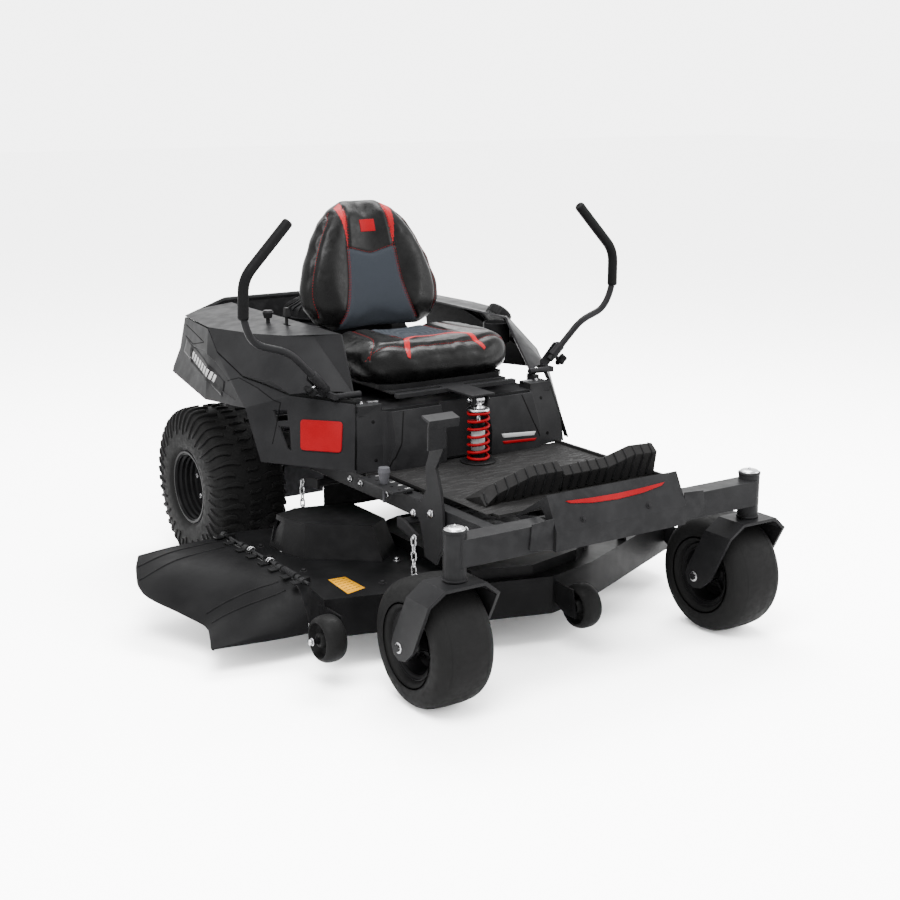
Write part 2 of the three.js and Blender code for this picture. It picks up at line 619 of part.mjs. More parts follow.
function coilSpring() {
  const { y, springRadius, wire, bottom, top, turns } = SHOCK;
  const perTurn = 9;
  const stations = [];
  for (let i = 0; i <= turns * perTurn; i += 1) {
    const t = i / (turns * perTurn);
    const angle = (2 * Math.PI * i) / perTurn;
    const z = bottom + wire + (top - bottom - 2 * wire) * t;
    stations.push(vec(springRadius * Math.cos(angle), y + springRadius * Math.sin(angle), z));
  }
  return sweep(stations, wire, 5);
}

function seatPan() {
  const tray = hull([
    ...[SEAT_Z + GAP, SEAT_Z + 14].flatMap((z) => [[-186, 762, z], [186, 762, z], [-214, 792, z], [214, 792, z],
      [-214, 1064, z], [214, 1064, z], [-150, 1098, z], [150, 1098, z]]),
  ]);
  const riser = prism("x", [[1090, 641], [1242, 641], [1270, 905], [1262, 905], [1234, 649], [1090, 649]], -105, 105);
  return join(tray, riser);
}

function seatCushion() {
  const ring = (z, half, front, rear, corner) => [
    [-half + corner, front, z], [half - corner, front, z], [half, front + corner, z], [half, rear - corner, z],
    [half - corner, rear, z], [-half + corner, rear, z], [-half, rear - corner, z], [-half, front + corner, z],
  ];
  const pad = hull([...ring(SEAT_Z + 1, 240, 741, 1100, 60), ...ring(690, 272, 738, 1108, 70),
    ...ring(728, 274, 748, 1108, 80), ...ring(758, 240, 790, 1104, 90)]);
  const recess = [...ring(SEAT_Z - 1, 215, 761.5, 1099, 28), ...ring(SEAT_Z + 14 + GAP, 215, 761.5, 1099, 28)];
  return cut(pad, hull(recess), box(-106, 106, 1080, 1120, SEAT_Z - 2, 664));
}

function seatBack() {
  const levels = [[742, 150, 1116, 1224], [786, 236, 1124, 1228], [830, 254, 1132, 1236], [880, 246, 1140, 1246],
    [956, 222, 1153, 1258], [1040, 180, 1176, 1272], [1100, 138, 1196, 1280], [1138, 88, 1218, 1284],
    [1150, 36, 1240, 1276]];
  return hull(levels.flatMap(([z, half, front, rear]) => [[-half * 0.74, front, z], [half * 0.74, front, z],
    [-half, front * 0.62 + rear * 0.38, z], [half, front * 0.62 + rear * 0.38, z], [-half * 0.6, rear, z],
    [half * 0.6, rear, z]]));
}

add("seat_platform", seatPlatform(), "framePaint");
add("damper_rod", damperRod(), "zinc");
add("damper_body", damperBody(), "rimPaint");
add("coil_spring", coilSpring(), "red");
add("seat_pan", seatPan(), "matBlack");
add("seat_cushion", seatCushion(), "vinyl");
add("seat_back", seatBack(), "vinyl");

// ---------------------------------------------------------------- drive levers
// The shaft turns with the drive stroke. Its plate stands behind the lever and carries the pin
// on which the lever swings out for parking.
function leverBracket() {
  const { y, z } = LEVER_SHAFT;
  const shaft = rod(vec(296, y, z), vec(380, y, z), 9, 12);
  const web = box(370, 382, y - 9, 801, 636, 652);
  const outline = [[370, 636], [388, 636], [444, 694], [440, 716], [420, 716], [370, 664]];
  const plate = prism("y", outline, 797, 801);
  const pin = rod(vec(LEVER_PIVOT.x, 772, LEVER_PIVOT.z), vec(LEVER_PIVOT.x, 799, LEVER_PIVOT.z), 5, 10);
  return join(shaft, web, plate, pin);
}

const LEVER_PATH = [[394, 785, 666], [505, 776, 779], [606, 789, 808], [636, 785, 873], [633, 782, 988],
  [492, 782, 1135]].map((p) => vec(...p));

function leverTube() {
  const end = LEVER_PATH[4].clone().lerp(LEVER_PATH[5], 0.94);
  const tube = bentTube([...LEVER_PATH.slice(0, 5), end], LEVER.tube, 34, 10, 3);
  return cut(tube, rod(vec(LEVER_PIVOT.x, 760, LEVER_PIVOT.z), vec(LEVER_PIVOT.x, 810, LEVER_PIVOT.z), 5.6, 12));
}

// The moulded grip is a sleeve: its bore clears the tube by a hair.
function leverGrip() {
  const path = [LEVER_PATH[3].clone().lerp(LEVER_PATH[4], 0.22), LEVER_PATH[4], LEVER_PATH[5]];
  const outer = bentTube(path, LEVER.grip, 34, 12, 3);
  const end = LEVER_PATH[4].clone().lerp(LEVER_PATH[5], 0.945);
  return cut(outer, bentTube([...LEVER_PATH.slice(0, 5), end], LEVER.tube + 0.9, 34, 10, 3));
}

addPair("lever_bracket", leverBracket(), "framePaint");
addPair("lever_tube", leverTube(), "framePaint");
addPair("lever_grip", leverGrip(), "rubber");

// ---------------------------------------------------------------- mowing deck
// Moves every side of a plan outline inwards by a distance.
function inset(outline, distance) {
  const points = outline.map(([x, y]) => new THREE.Vector2(x, y));
  const turn = THREE.ShapeUtils.isClockWise(points) ? -1 : 1;
  return points.map((point, i) => {
    const before = points[(i + points.length - 1) % points.length];
    const after = points[(i + 1) % points.length];
    const a = point.clone().sub(before).normalize();
    const b = after.clone().sub(point).normalize();
    const normalA = new THREE.Vector2(-a.y, a.x).multiplyScalar(turn);
    const normalB = new THREE.Vector2(-b.y, b.x).multiplyScalar(turn);
    const bisector = normalA.clone().add(normalB).normalize();
    const reach = distance / Math.max(0.35, bisector.dot(normalA));
    return [point.x + bisector.x * reach, point.y + bisector.y * reach];
  });
}

const DECK_PLAN = [[-622, 391], [-20, 214], [144, 252], [650, 483], [650, 900], [560, 1020], [330, 1040],
  [130, 870], [-130, 870], [-320, 1000], [-560, 1050], [-606, 1010], [-606, 500]];
const DECK_RISE = [[-228, 300], [-60, 250], [120, 292], [236, 380], [236, 800], [120, 846], [-120, 846], [-228, 800]];
const RISE_TOP = DECK.top + 30;

function deckShell() {
  const { skirtBottom, top, wall } = DECK;
  const shell = cut(
    join(prism("z", DECK_PLAN, skirtBottom, top), prism("z", DECK_RISE, top - 2, RISE_TOP)),
    prism("z", inset(DECK_PLAN, wall), skirtBottom - 1, top - wall),
    prism("z", inset(DECK_RISE, wall), top - wall - 1, RISE_TOP - wall),
    box(-640, -590, 520, 960, skirtBottom - 1, top - 14),
    ...BLADES.map(({ x, y }) => rod(vec(x, y, top - 20), vec(x, y, RISE_TOP + 5), 22.5, 16)),
  );
  const ear = (x, y) => box(x - 4, x + 4, y - 16, y + 16, top - 1, top + 30);
  const gaugeArm = (x, y) => join(
    prism("x", [[y - 22, 108], [y + 22, 108], [y + 110, 150], [y + 110, 186], [y - 8, 186]], x - 5, x),
    rod(vec(x - 6, y, GAUGE.axleZ), vec(x + 2 * GAUGE.halfWidth + 14, y, GAUGE.axleZ), 7, 10),
  );
  const arms = GAUGES.map(({ x, y, arm }) => (arm < 0
    ? mirrored(gaugeArm(-x - GAUGE.halfWidth - 4, y))
    : gaugeArm(x - GAUGE.halfWidth - 4, y)));
  const ears = HANGERS.map(([x, y]) => ear(x, y - 4));
  const hingeTabs = [540, 760, 1000].map((y) => box(-608, -586, y - 8, y + 8, top - 2, top + 14));
  return join(shell, ...ears, ...arms, ...hingeTabs);
}

const BLADES = [
  { name: "right", x: -392, y: 740 },
  { name: "centre", x: 10, y: 570 },
  { name: "left", x: 412, y: 770 },
];
const BLADE_HALF = 205;

// Which side of the wheel its arm stands on: +1 towards -X of a wheel, -1 towards +X.
const GAUGES = [
  { name: "centre", x: 30, y: 150, arm: 1 },
  { name: "right", x: -655, y: 315, arm: -1 },
  { name: "left", x: 636, y: 388, arm: 1 },
];

// Where the lift chains pick up the deck.
const HANGERS = [[352, 375], [-352, 375], [352, 1000], [-352, 1000]];

// Blade, spindle shaft and drive pulley turn as one.
function bladeSpindle() {
  const half = BLADE_HALF;
  const blade = prism("z", [[-half, -24], [-half + 70, -31], [half - 70, -31], [half, -31], [half, 24],
    [half - 70, 31], [-half + 70, 31], [-half, 31]], 118, 124);
  const shaft = rod(vec(0, 0, 110), vec(0, 0, 254), 12, 12);
  const pulley = rod(vec(0, 0, 240), vec(0, 0, 252), 62, 20);
  return join(blade, shaft, pulley);
}

function gaugeWheel() {
  const { radius, halfWidth: w, sides } = GAUGE;
  const profile = [[-w, 24], [-w, 48], [-w + 10, radius - 3], [0, radius], [w - 10, radius - 3], [w, 48], [w, 24],
    [w - 6, 22], [w - 6, 7.5], [-w + 6, 7.5], [-w + 6, 22]];
  return turned(scaledToFlats(profile, sides), sides);
}

function beltCover() {
  const z = DECK.top + GAP;
  const base = [[-534, 880], [-534, 796], [-508, 716], [-336, 576], [-252, 636], [-252, 905], [-450, 930]];
  const top = [[-512, 868], [-512, 812], [-490, 738], [-344, 618], [-276, 664], [-276, 856], [-440, 896]];
  const outer = hull([...base.map(([x, y]) => [x, y, z]), ...top.map(([x, y]) => [x, y, 298])]);
  const small = (ring, height) => inset(ring, 5).map(([x, y]) => [x, y, height]);
  const pocket = hull([[-530, 818], [-522, 818], [-520, 870], [-536, 870], [-536, 818]].flatMap(([x, y]) => [
    [x, y, z + 14], [x + 18, y + 2, 284]]));
  return cut(outer, hull([...small(base, z - 1), ...small(top, 292)]), moved(pocket, -6, 0, 0));
}

// Side discharge chute: level at the hinge, rolling down towards its outer and front edges.
function dischargeChute() {
  const rows = [
    [[-609, 1040, 200], [-690, 1040, 200], [-780, 1040, 198], [-868, 1036, 192]],
    [[-609, 985, 201], [-700, 985, 200], [-800, 982, 194], [-899, 976, 170]],
    [[-609, 860, 202], [-710, 862, 200], [-815, 866, 184], [-922, 872, 140]],
    [[-609, 750, 203], [-690, 750, 197], [-775, 748, 170], [-868, 742, 112]],
    [[-609, 660, 203], [-690, 658, 186], [-770, 655, 146], [-838, 655, 97]],
    [[-609, 575, 196], [-690, 575, 154], [-780, 580, 118], [-856, 585, 88]],
    [[-609, 515, 130], [-680, 520, 104], [-780, 530, 92], [-870, 548, 77]],
    [[-609, 500, 76], [-680, 506, 75], [-780, 520, 75], [-868, 540, 75]],
  ];
  const wide = rows[0].length;
  const faces = [];
  for (let r = 0; r + 1 < rows.length; r += 1) {
    for (let c = 0; c + 1 < wide; c += 1) {
      const a = r * wide + c;
      faces.push([a, a + 1, a + 1 + wide, a + wide]);
    }
  }
  return moved(skin(rows.flat(), faces, [3, 3.5, -4]), -1, 0, 0);
}

function lifter(y, z, reachY, reachZ) {
  const shaft = rod(vec(-352, y, z), vec(352, y, z), 11, 12);
  const arm = (x) => hull([-4, 4].flatMap((dx) => [[x + dx, y - 14, z - 14], [x + dx, y + 14, z - 14],
    [x + dx, y - 14, z + 14], [x + dx, y + 14, z + 14], [x + dx, reachY - 9, reachZ - 9],
    [x + dx, reachY + 9, reachZ - 9], [x + dx, reachY - 9, reachZ + 9], [x + dx, reachY + 9, reachZ + 9]]));
  return join(shaft, arm(-352), arm(352));
}

add("deck_shell", deckShell(), "deckPaint");
addPair("belt_cover", mirrored(beltCover()), "chutePlastic");
add("discharge_chute", dischargeChute(), "chutePlastic");
for (const { name, x, y } of BLADES) add(`blade_spindle_${name}`, bladeSpindle(), "castMetal", x, y, 0);
for (const { name, x, y } of GAUGES) add(`gauge_wheel_${name}`, gaugeWheel(), "rubber", x, y, GAUGE.axleZ);

add("lift_shaft_front", lifter(452, 352, 375, 330), "framePaint");
add("lift_shaft_rear", lifter(925, 352, 1000, 342), "framePaint");

// ---------------------------------------------------------------- deck lift pedal and height pin
function liftPedal() {
  const arm = prism("x", [[290, 276], [258, 340], [257, 428], [269, 484], [290, 536], [256, 590], [250, 655],
    [276, 655], [312, 592], [338, 530], [334, 469], [386, 402], [366, 372], [350, 330], [344, 286]], -346, -338);
  const pad = prism("x", [[250, 650], [257, 650], [254, 668], [282, 676], [282, 682], [246, 673]], -392, -300);
  const tab = prism("x", [[252, 596], [258, 596], [257, 656], [250, 656]], -392, -338);
  return join(arm, pad, tab, rod(vec(-340, 330, 400), vec(-332, 330, 400), 14, 12));
}

const PIN = { x: -345, y: 548 };

function heightPlate() {
  const plate = box(-374, -308, 455, 640, 432, 437);
  const foot = box(-326, -308, 462, 634, RAIL.top + GAP, 433);
  const holes = [470, 509, 548, 587, 626].map((y) => rod(vec(PIN.x, y, 428), vec(PIN.x, y, 440), 5.2, 10));
  return cut(join(plate, foot), ...holes);
}

function heightPin() {
  const knob = join(rod(vec(0, 0, 437.4), vec(0, 0, 470), 11, 14, 17), rod(vec(0, 0, 469), vec(0, 0, 482), 17, 14, 15));
  return join(knob, rod(vec(0, 0, 384), vec(0, 0, 440), 4.7, 10));
}

add("lift_pedal", liftPedal(), "framePaint");
add("height_plate", heightPlate(), "framePaint");
add("height_pin", heightPin(), "knobGrey", PIN.x, PIN.y, 0);

// ---------------------------------------------------------------- origin
mower.updateMatrixWorld(true);
const bounds = new THREE.Box3().setFromObject(mower);
const centre = bounds.getCenter(vec());
mower.position.set(-centre.x, -centre.y, -bounds.min.z);

export default mower;
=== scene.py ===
"""Looks for the zero turn mower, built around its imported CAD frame. Metres, +Z up, front towards -Y."""
import json
import math

import bmesh
import bpy
from mathutils import Matrix, Vector, noise
from mathutils.bvhtree import BVHTree
from mathutils.kdtree import KDTree


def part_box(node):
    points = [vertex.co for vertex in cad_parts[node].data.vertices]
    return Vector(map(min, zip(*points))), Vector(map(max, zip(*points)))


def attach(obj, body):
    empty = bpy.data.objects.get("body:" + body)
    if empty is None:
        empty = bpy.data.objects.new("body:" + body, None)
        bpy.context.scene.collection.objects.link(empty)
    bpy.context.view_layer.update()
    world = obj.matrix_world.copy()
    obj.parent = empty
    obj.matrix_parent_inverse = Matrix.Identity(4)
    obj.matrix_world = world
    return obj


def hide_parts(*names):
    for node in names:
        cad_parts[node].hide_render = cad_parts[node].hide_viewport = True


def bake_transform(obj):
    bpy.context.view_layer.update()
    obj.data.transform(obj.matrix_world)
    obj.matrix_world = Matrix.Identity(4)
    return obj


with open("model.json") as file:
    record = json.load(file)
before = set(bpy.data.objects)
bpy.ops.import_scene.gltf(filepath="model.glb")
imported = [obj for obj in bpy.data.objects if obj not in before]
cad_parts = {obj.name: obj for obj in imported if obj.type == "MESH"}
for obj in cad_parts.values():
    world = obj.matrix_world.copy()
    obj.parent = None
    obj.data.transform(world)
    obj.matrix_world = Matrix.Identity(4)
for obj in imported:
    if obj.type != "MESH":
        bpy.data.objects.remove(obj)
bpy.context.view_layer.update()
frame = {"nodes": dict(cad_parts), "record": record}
NODES = frame["nodes"]
BEAM_LOW, BEAM_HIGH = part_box("front_axle_beam")
ORIGIN_X = (BEAM_LOW.x + BEAM_HIGH.x) / 2
ORIGIN_Y = (BEAM_LOW.y + BEAM_HIGH.y) / 2
MM = 0.001
SIDES = (("left", 1), ("right", -1))
UP = Vector((0, 0, 1))
DOWN = -UP
LEFTWARD = Vector((1, 0, 0))
REARWARD = Vector((0, 1, 0))
FORWARD = -REARWARD

FLOOR_PAN_TOP = 438.3
DECK_TOP = 205
HINGE_X, HINGE_Z = -604, 211
BADGE_CORNER = 0.012


def at(x, y, z):
    """A point given in millimetres from the caster pivot line, the centre plane and the ground."""
    return Vector((ORIGIN_X + x * MM, ORIGIN_Y + y * MM, z * MM))


# ------------------------------------------------------------------ camera, floor and light
def make_camera():
    """The photograph's viewing place, found by fitting the mower's known points."""
    data = bpy.data.cameras.new("camera")
    data.sensor_width = 36
    data.lens = 58.27
    data.clip_end = 60
    camera = bpy.data.objects.new("camera", data)
    bpy.context.scene.collection.objects.link(camera)
    forward = Vector((0.5354, 0.8088, -0.2433))
    camera.location = at(-2303.1, -2734.0, 1488.3)
    camera.rotation_euler = forward.to_track_quat("-Z", "Y").to_euler()
    bpy.context.scene.camera = camera


def make_light(name, target, direction, distance, size, energy):
    data = bpy.data.lights.new(name, "AREA")
    data.shape = "RECTANGLE"
    data.size, data.size_y = size
    data.energy = energy
    light = bpy.data.objects.new(name, data)
    light.location = target + Vector(direction).normalized() * distance
    light.rotation_euler = (light.location - target).to_track_quat("Z", "Y").to_euler()
    bpy.context.scene.collection.objects.link(light)


def make_stage():
    """A wide pale floor under an evenly bright sky, with three soft studio lights."""
    mesh = bpy.data.meshes.new("studio_floor")
    half = 30
    corners = [(-half, -half, 0), (half, -half, 0), (half, half, 0), (-half, half, 0)]
    mesh.from_pydata(corners, [], [(0, 1, 2, 3)])
    floor = bpy.data.objects.new("studio_floor", mesh)
    bpy.context.scene.collection.objects.link(floor)
    floor.location.z = -0.0005
    material = bpy.data.materials.new("studio_white")
    material.use_nodes = True
    shader = material.node_tree.nodes["Principled BSDF"]
    shader.inputs["Base Color"].default_value = (0.94, 0.94, 0.94, 1)
    shader.inputs["Roughness"].default_value = 0.9
    shader.inputs["Specular IOR Level"].default_value = 0.1
    mesh.materials.append(material)
    world = bpy.data.worlds.new("studio")
    bpy.context.scene.world = world
    world.use_nodes = True
    sky = world.node_tree.nodes["Background"]
    sky.inputs["Color"].default_value = (1, 1, 1, 1)
    sky.inputs["Strength"].default_value = 5.4
    middle = at(0, 700, 500)
    make_light("key", middle, (-0.55, -0.5, 1.2), 4.5, (2.4, 2.4), 900)
    make_light("top", middle, (0.3, 0.35, 1.0), 4.2, (3.0, 2.0), 800)
    make_light("side", middle, (1.0, -0.7, 0.5), 4.5, (1.6, 2.6), 300)


make_camera()
make_stage()


# ------------------------------------------------------------------ materials
def shader_nodes(name):
    """An empty material with its node tree and shader."""
    material = bpy.data.materials.new(name)
    material.use_nodes = True
    tree = material.node_tree
    return material, tree, tree.nodes["Principled BSDF"]


def texture(tree, kind, scale, **settings):
    """A 3D texture fed by the object's own coordinates; returns its node."""
    coordinates = tree.nodes.get("coords") or tree.nodes.new("ShaderNodeTexCoord")
    coordinates.name = "coords"
    node = tree.nodes.new(kind)
    node.inputs["Scale"].default_value = scale
    for key, value in settings.items():
        if key in node.inputs:
            node.inputs[key].default_value = value
        else:
            setattr(node, key, value)
    tree.links.new(coordinates.outputs["Object"], node.inputs["Vector"])
    return node


def ramp(tree, source, low, high, start=0.35, end=0.65):
    """Maps a value's range from start to end onto low to high."""
    node = tree.nodes.new("ShaderNodeMapRange")
    node.inputs["From Min"].default_value = start
    node.inputs["From Max"].default_value = end
    node.inputs["To Min"].default_value = low
    node.inputs["To Max"].default_value = high
    tree.links.new(source, node.inputs["Value"])
    return node.outputs["Result"]


def mix_colors(tree, factor, a, b):
    """Blends two colours by a factor output."""
    node = tree.nodes.new("ShaderNodeMix")
    node.data_type = "RGBA"
    node.inputs[6].default_value = (*a, 1)
    node.inputs[7].default_value = (*b, 1)
    tree.links.new(factor, node.inputs[0])
    return node.outputs[2]


def add_bump(tree, shader, layers):
    """Stacks bump layers, each (height output, strength, distance in metres)."""
    normal = None
    for height, strength, distance in layers:
        bump = tree.nodes.new("ShaderNodeBump")
        bump.inputs["Strength"].default_value = strength
        bump.inputs["Distance"].default_value = distance
        tree.links.new(height, bump.inputs["Height"])
        if normal:
            tree.links.new(normal, bump.inputs["Normal"])
        normal = bump.outputs["Normal"]
    tree.links.new(normal, shader.inputs["Normal"])


def edge_wear(tree, amount):
    """Lighter where edges are rubbed, broken up by noise."""
    pointy = tree.nodes.new("ShaderNodeNewGeometry")
    patches = texture(tree, "ShaderNodeTexNoise", 35, Detail=4.0)
    edge = ramp(tree, pointy.outputs["Pointiness"], 0, 1, 0.51, 0.6)
    math_node = tree.nodes.new("ShaderNodeMath")
    math_node.operation = "MULTIPLY"
    tree.links.new(edge, math_node.inputs[0])
    tree.links.new(ramp(tree, patches.outputs["Fac"], 0, amount, 0.45, 0.6), math_node.inputs[1])
    return math_node.outputs["Value"]


# The studio is bright enough to whiten its floor, so base colours and gloss are set low
# to stay as dark as wanted.
LOW_IOR = 1.07
VINYL_IOR = 1.13
MOTTLING = 0.06


def coated(name, color, roughness, grain=900, grain_depth=0.00004, wear=0.35, orange_peel=0.0):
    """Painted or moulded surface: fine grain, soft mottling, uneven gloss and rubbed edges."""
    material, tree, shader = shader_nodes(name)
    cloud = texture(tree, "ShaderNodeTexNoise", 9, Detail=5.0)
    light = tuple(c * (1 + MOTTLING) + 0.001 for c in color)
    dark = tuple(c * (1 - MOTTLING) for c in color)
    base = mix_colors(tree, ramp(tree, cloud.outputs["Fac"], 0, 1), dark, light)
    worn = tree.nodes.new("ShaderNodeMix")
    worn.data_type = "RGBA"
    tree.links.new(edge_wear(tree, wear), worn.inputs[0])
    tree.links.new(base, worn.inputs[6])
    worn.inputs[7].default_value = (*[c * 1.8 + 0.004 for c in color], 1)
    tree.links.new(worn.outputs[2], shader.inputs["Base Color"])
    smudge = texture(tree, "ShaderNodeTexNoise", 26, Detail=6.0)
    tree.links.new(ramp(tree, smudge.outputs["Fac"], roughness * 0.88, roughness * 1.12),
                   shader.inputs["Roughness"])
    shader.inputs["IOR"].default_value = LOW_IOR
    fine = texture(tree, "ShaderNodeTexNoise", grain, Detail=2.0)
    layers = [(fine.outputs["Fac"], 0.35, grain_depth)]
    if orange_peel:
        peel = texture(tree, "ShaderNodeTexNoise", 160, Detail=1.0)
        layers.append((peel.outputs["Fac"], 0.3, orange_peel))
    add_bump(tree, shader, layers)
    return material


def rubber(name, color, roughness):
    """Rubber: dusty patches, fine scuffs and slow waves."""
    dust, scuff = 0.0004, 0.00012
    material, tree, shader = shader_nodes(name)
    cloud = texture(tree, "ShaderNodeTexNoise", 14, Detail=6.0, Roughness=0.6)
    shader.inputs["IOR"].default_value = LOW_IOR
    light = tuple(c + dust for c in color)
    tree.links.new(mix_colors(tree, ramp(tree, cloud.outputs["Fac"], 0, 1, 0.4, 0.7), color, light),
                   shader.inputs["Base Color"])
    fine = texture(tree, "ShaderNodeTexNoise", 420, Detail=3.0)
    waves = texture(tree, "ShaderNodeTexNoise", 70, Detail=3.0)
    tree.links.new(ramp(tree, waves.outputs["Fac"], roughness - 0.08, roughness + 0.1),
                   shader.inputs["Roughness"])
    add_bump(tree, shader, [(fine.outputs["Fac"], 0.5, scuff), (waves.outputs["Fac"], 0.2, scuff * 3)])
    return material


def vinyl(name, color, roughness):
    """Leather-grained vinyl: small cells with soft wrinkles over them."""
    material, tree, shader = shader_nodes(name)
    cloud = texture(tree, "ShaderNodeTexNoise", 12, Detail=4.0)
    light = tuple(c * 1.5 + 0.0010 for c in color)
    tree.links.new(mix_colors(tree, ramp(tree, cloud.outputs["Fac"], 0, 1), color, light),
                   shader.inputs["Base Color"])
    cells = texture(tree, "ShaderNodeTexVoronoi", 520)
    wrinkles = texture(tree, "ShaderNodeTexNoise", 60, Detail=6.0, Roughness=0.65)
    tree.links.new(ramp(tree, wrinkles.outputs["Fac"], roughness - 0.07, roughness + 0.1),
                   shader.inputs["Roughness"])
    shader.inputs["IOR"].default_value = VINYL_IOR
    add_bump(tree, shader, [(cells.outputs["Distance"], 0.35, 0.0002), (wrinkles.outputs["Fac"], 0.25, 0.0006)])
    return material


def woven(name, color, roughness):
    """Coarse technical weave for the seat's middle panel."""
    material, tree, shader = shader_nodes(name)
    warp = texture(tree, "ShaderNodeTexWave", 150, bands_direction="X", Distortion=0.6, Detail=1.0)
    weft = texture(tree, "ShaderNodeTexWave", 150, bands_direction="Z", Distortion=0.6, Detail=1.0)
    mixed = tree.nodes.new("ShaderNodeMath")
    mixed.operation = "MULTIPLY"
    tree.links.new(warp.outputs["Fac"], mixed.inputs[0])
    tree.links.new(weft.outputs["Fac"], mixed.inputs[1])
    light = tuple(c * 1.9 + 0.004 for c in color)
    tree.links.new(mix_colors(tree, mixed.outputs["Value"], color, light), shader.inputs["Base Color"])
    shader.inputs["Roughness"].default_value = roughness
    shader.inputs["IOR"].default_value = LOW_IOR
    add_bump(tree, shader, [(mixed.outputs["Value"], 0.5, 0.0004)])
    return material


def bare_metal(name, color, roughness):
    """Plated or cast metal: cloudy tone and fine scratches."""
    streak = 0.08
    material, tree, shader = shader_nodes(name)
    cloud = texture(tree, "ShaderNodeTexNoise", 60, Detail=5.0)
    dark = tuple(c * 0.75 for c in color)
    tree.links.new(mix_colors(tree, ramp(tree, cloud.outputs["Fac"], 0, 1), dark, color),
                   shader.inputs["Base Color"])
    shader.inputs["Metallic"].default_value = 1.0
    scratches = texture(tree, "ShaderNodeTexNoise", 300, Detail=5.0)
    tree.links.new(ramp(tree, scratches.outputs["Fac"], roughness - streak, roughness + streak),
                   shader.inputs["Roughness"])
    add_bump(tree, shader, [(scratches.outputs["Fac"], 0.15, 0.00008)])
    return material


SURFACES = (
    (coated, "body_panel", (0.0037, 0.0037, 0.0039), 0.42, {"grain": 1100, "grain_depth": 0.00006}),
    (coated, "frame_paint", (0.0038, 0.0038, 0.0040), 0.38, {"orange_peel": 0.00012}),
    (coated, "deck_paint", (0.0014, 0.0014, 0.0015), 0.36, {"orange_peel": 0.00012}),
    (coated, "chute_plastic", (0.0019, 0.0019, 0.0020), 0.42, {"grain": 600, "grain_depth": 0.00009}),
    (rubber, "tyre", (0.0031, 0.0031, 0.0031), 0.62, {}),
    (rubber, "gauge_rubber", (0.0028, 0.0028, 0.0028), 0.5, {}),
    (coated, "rim_paint", (0.0014, 0.0014, 0.0015), 0.34, {}),
    (vinyl, "seat_vinyl", (0.0004, 0.0004, 0.0004), 0.34, {}),
    (rubber, "floor_mat", (0.0042, 0.0041, 0.0041), 0.5, {}),
    (coated, "accent_red", (0.066, 0.0006, 0.0016), 0.35, {"wear": 0.05}),
    (bare_metal, "bright_metal", (0.22, 0.22, 0.225), 0.28, {}),
    (bare_metal, "cast_metal", (0.026, 0.026, 0.028), 0.5, {}),
    (rubber, "grip_rubber", (0.0019, 0.0019, 0.0020), 0.5, {}),
    (coated, "knob_plastic", (0.020, 0.020, 0.022), 0.4, {}),
    (woven, "seat_weave", (0.0060, 0.0070, 0.0086), 0.85, {}),
    (vinyl, "seat_red", (0.070, 0.0004, 0.0012), 0.42, {}),
    (coated, "thread_red", (0.060, 0.0006, 0.0012), 0.6, {"wear": 0.0}),
    (coated, "label_yellow", (0.19, 0.085, 0.0003), 0.45, {"wear": 0.0}),
    (coated, "label_white", (0.13, 0.13, 0.13), 0.45, {"wear": 0.0}),
    # Near-black for painted shade in creases, seams, gaps, louvre slots and holes, and for the deck label's
    # printed marks.
    (coated, "dark_void", (0.0006, 0.0006, 0.0006), 0.8, {"wear": 0.0}),
)
MAT = {name: make(name, color, roughness, **options) for make, name, color, roughness, options in SURFACES}

DEFAULT_BEVEL = 0.0018
BEVELS = {"belt_cover_left": 0.012, "belt_cover_right": 0.012, "seat_pan": 0.004, "toe_rest_left": 0.004,
          "toe_rest_right": 0.004, "engine_shroud": 0.006, "seat_tower": 0.003}


def dress_cad_nodes():
    """Gives every carried-over CAD node its slot's material, softened edges and clean shading."""
    slots = {s["node"]: s["material_slot"] for s in frame["record"]["subparts"]}
    for name, node in NODES.items():
        material = MAT[slots[name]]
        node.data.materials.clear()
        node.data.materials.append(material)
        weld = node.modifiers.new("weld", "WELD")
        weld.merge_threshold = 0.00005
        bevel = node.modifiers.new("bevel", "BEVEL")
        bevel.width = BEVELS.get(name, DEFAULT_BEVEL)
        bevel.segments = 3
        bevel.limit_method = "ANGLE"
        bevel.angle_limit = math.radians(24)
        bevel.use_clamp_overlap = True
        for polygon in node.data.polygons:
            polygon.use_smooth = True
        normals = node.modifiers.new("normals", "WEIGHTED_NORMAL")
        normals.keep_sharp = False
        normals.weight = 60


# ------------------------------------------------------------------ mesh helpers
def new_piece(name, vertices, faces, material, body, **options):
    """Makes a visible piece from points and faces."""
    mesh = bpy.data.meshes.new(name)
    mesh.from_pydata([tuple(v) for v in vertices], [], faces)
    return finish_piece(name, mesh, material, body, **options)


def finish_piece(name, mesh, material, body, smooth=True, slot=None, replaces=()):
    """Makes a visible piece from a mesh: material, body and the CAD nodes it stands for; its slot argument is
    not used.
    """
    bm = bmesh.new()
    bm.from_mesh(mesh)
    bmesh.ops.remove_doubles(bm, verts=bm.verts, dist=1e-6)
    bmesh.ops.recalc_face_normals(bm, faces=bm.faces)
    bm.to_mesh(mesh)
    bm.free()
    for polygon in mesh.polygons:
        polygon.use_smooth = smooth
    piece = bpy.data.objects.new(name, mesh)
    bpy.context.scene.collection.objects.link(piece)
    if not mesh.materials:
        mesh.materials.append(MAT[material])
    if body:
        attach(piece, body)
    if replaces:
        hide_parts(*replaces)
    return piece


def soften(piece, width, segments=2):
    """Rounds a piece's edges, or with no width only evens its shading."""
    if width:
        bevel = piece.modifiers.new("bevel", "BEVEL")
        bevel.width = width
        bevel.segments = segments
        bevel.limit_method = "ANGLE"
        bevel.angle_limit = math.radians(30)
    normals = piece.modifiers.new("normals", "WEIGHTED_NORMAL")
    normals.keep_sharp = False


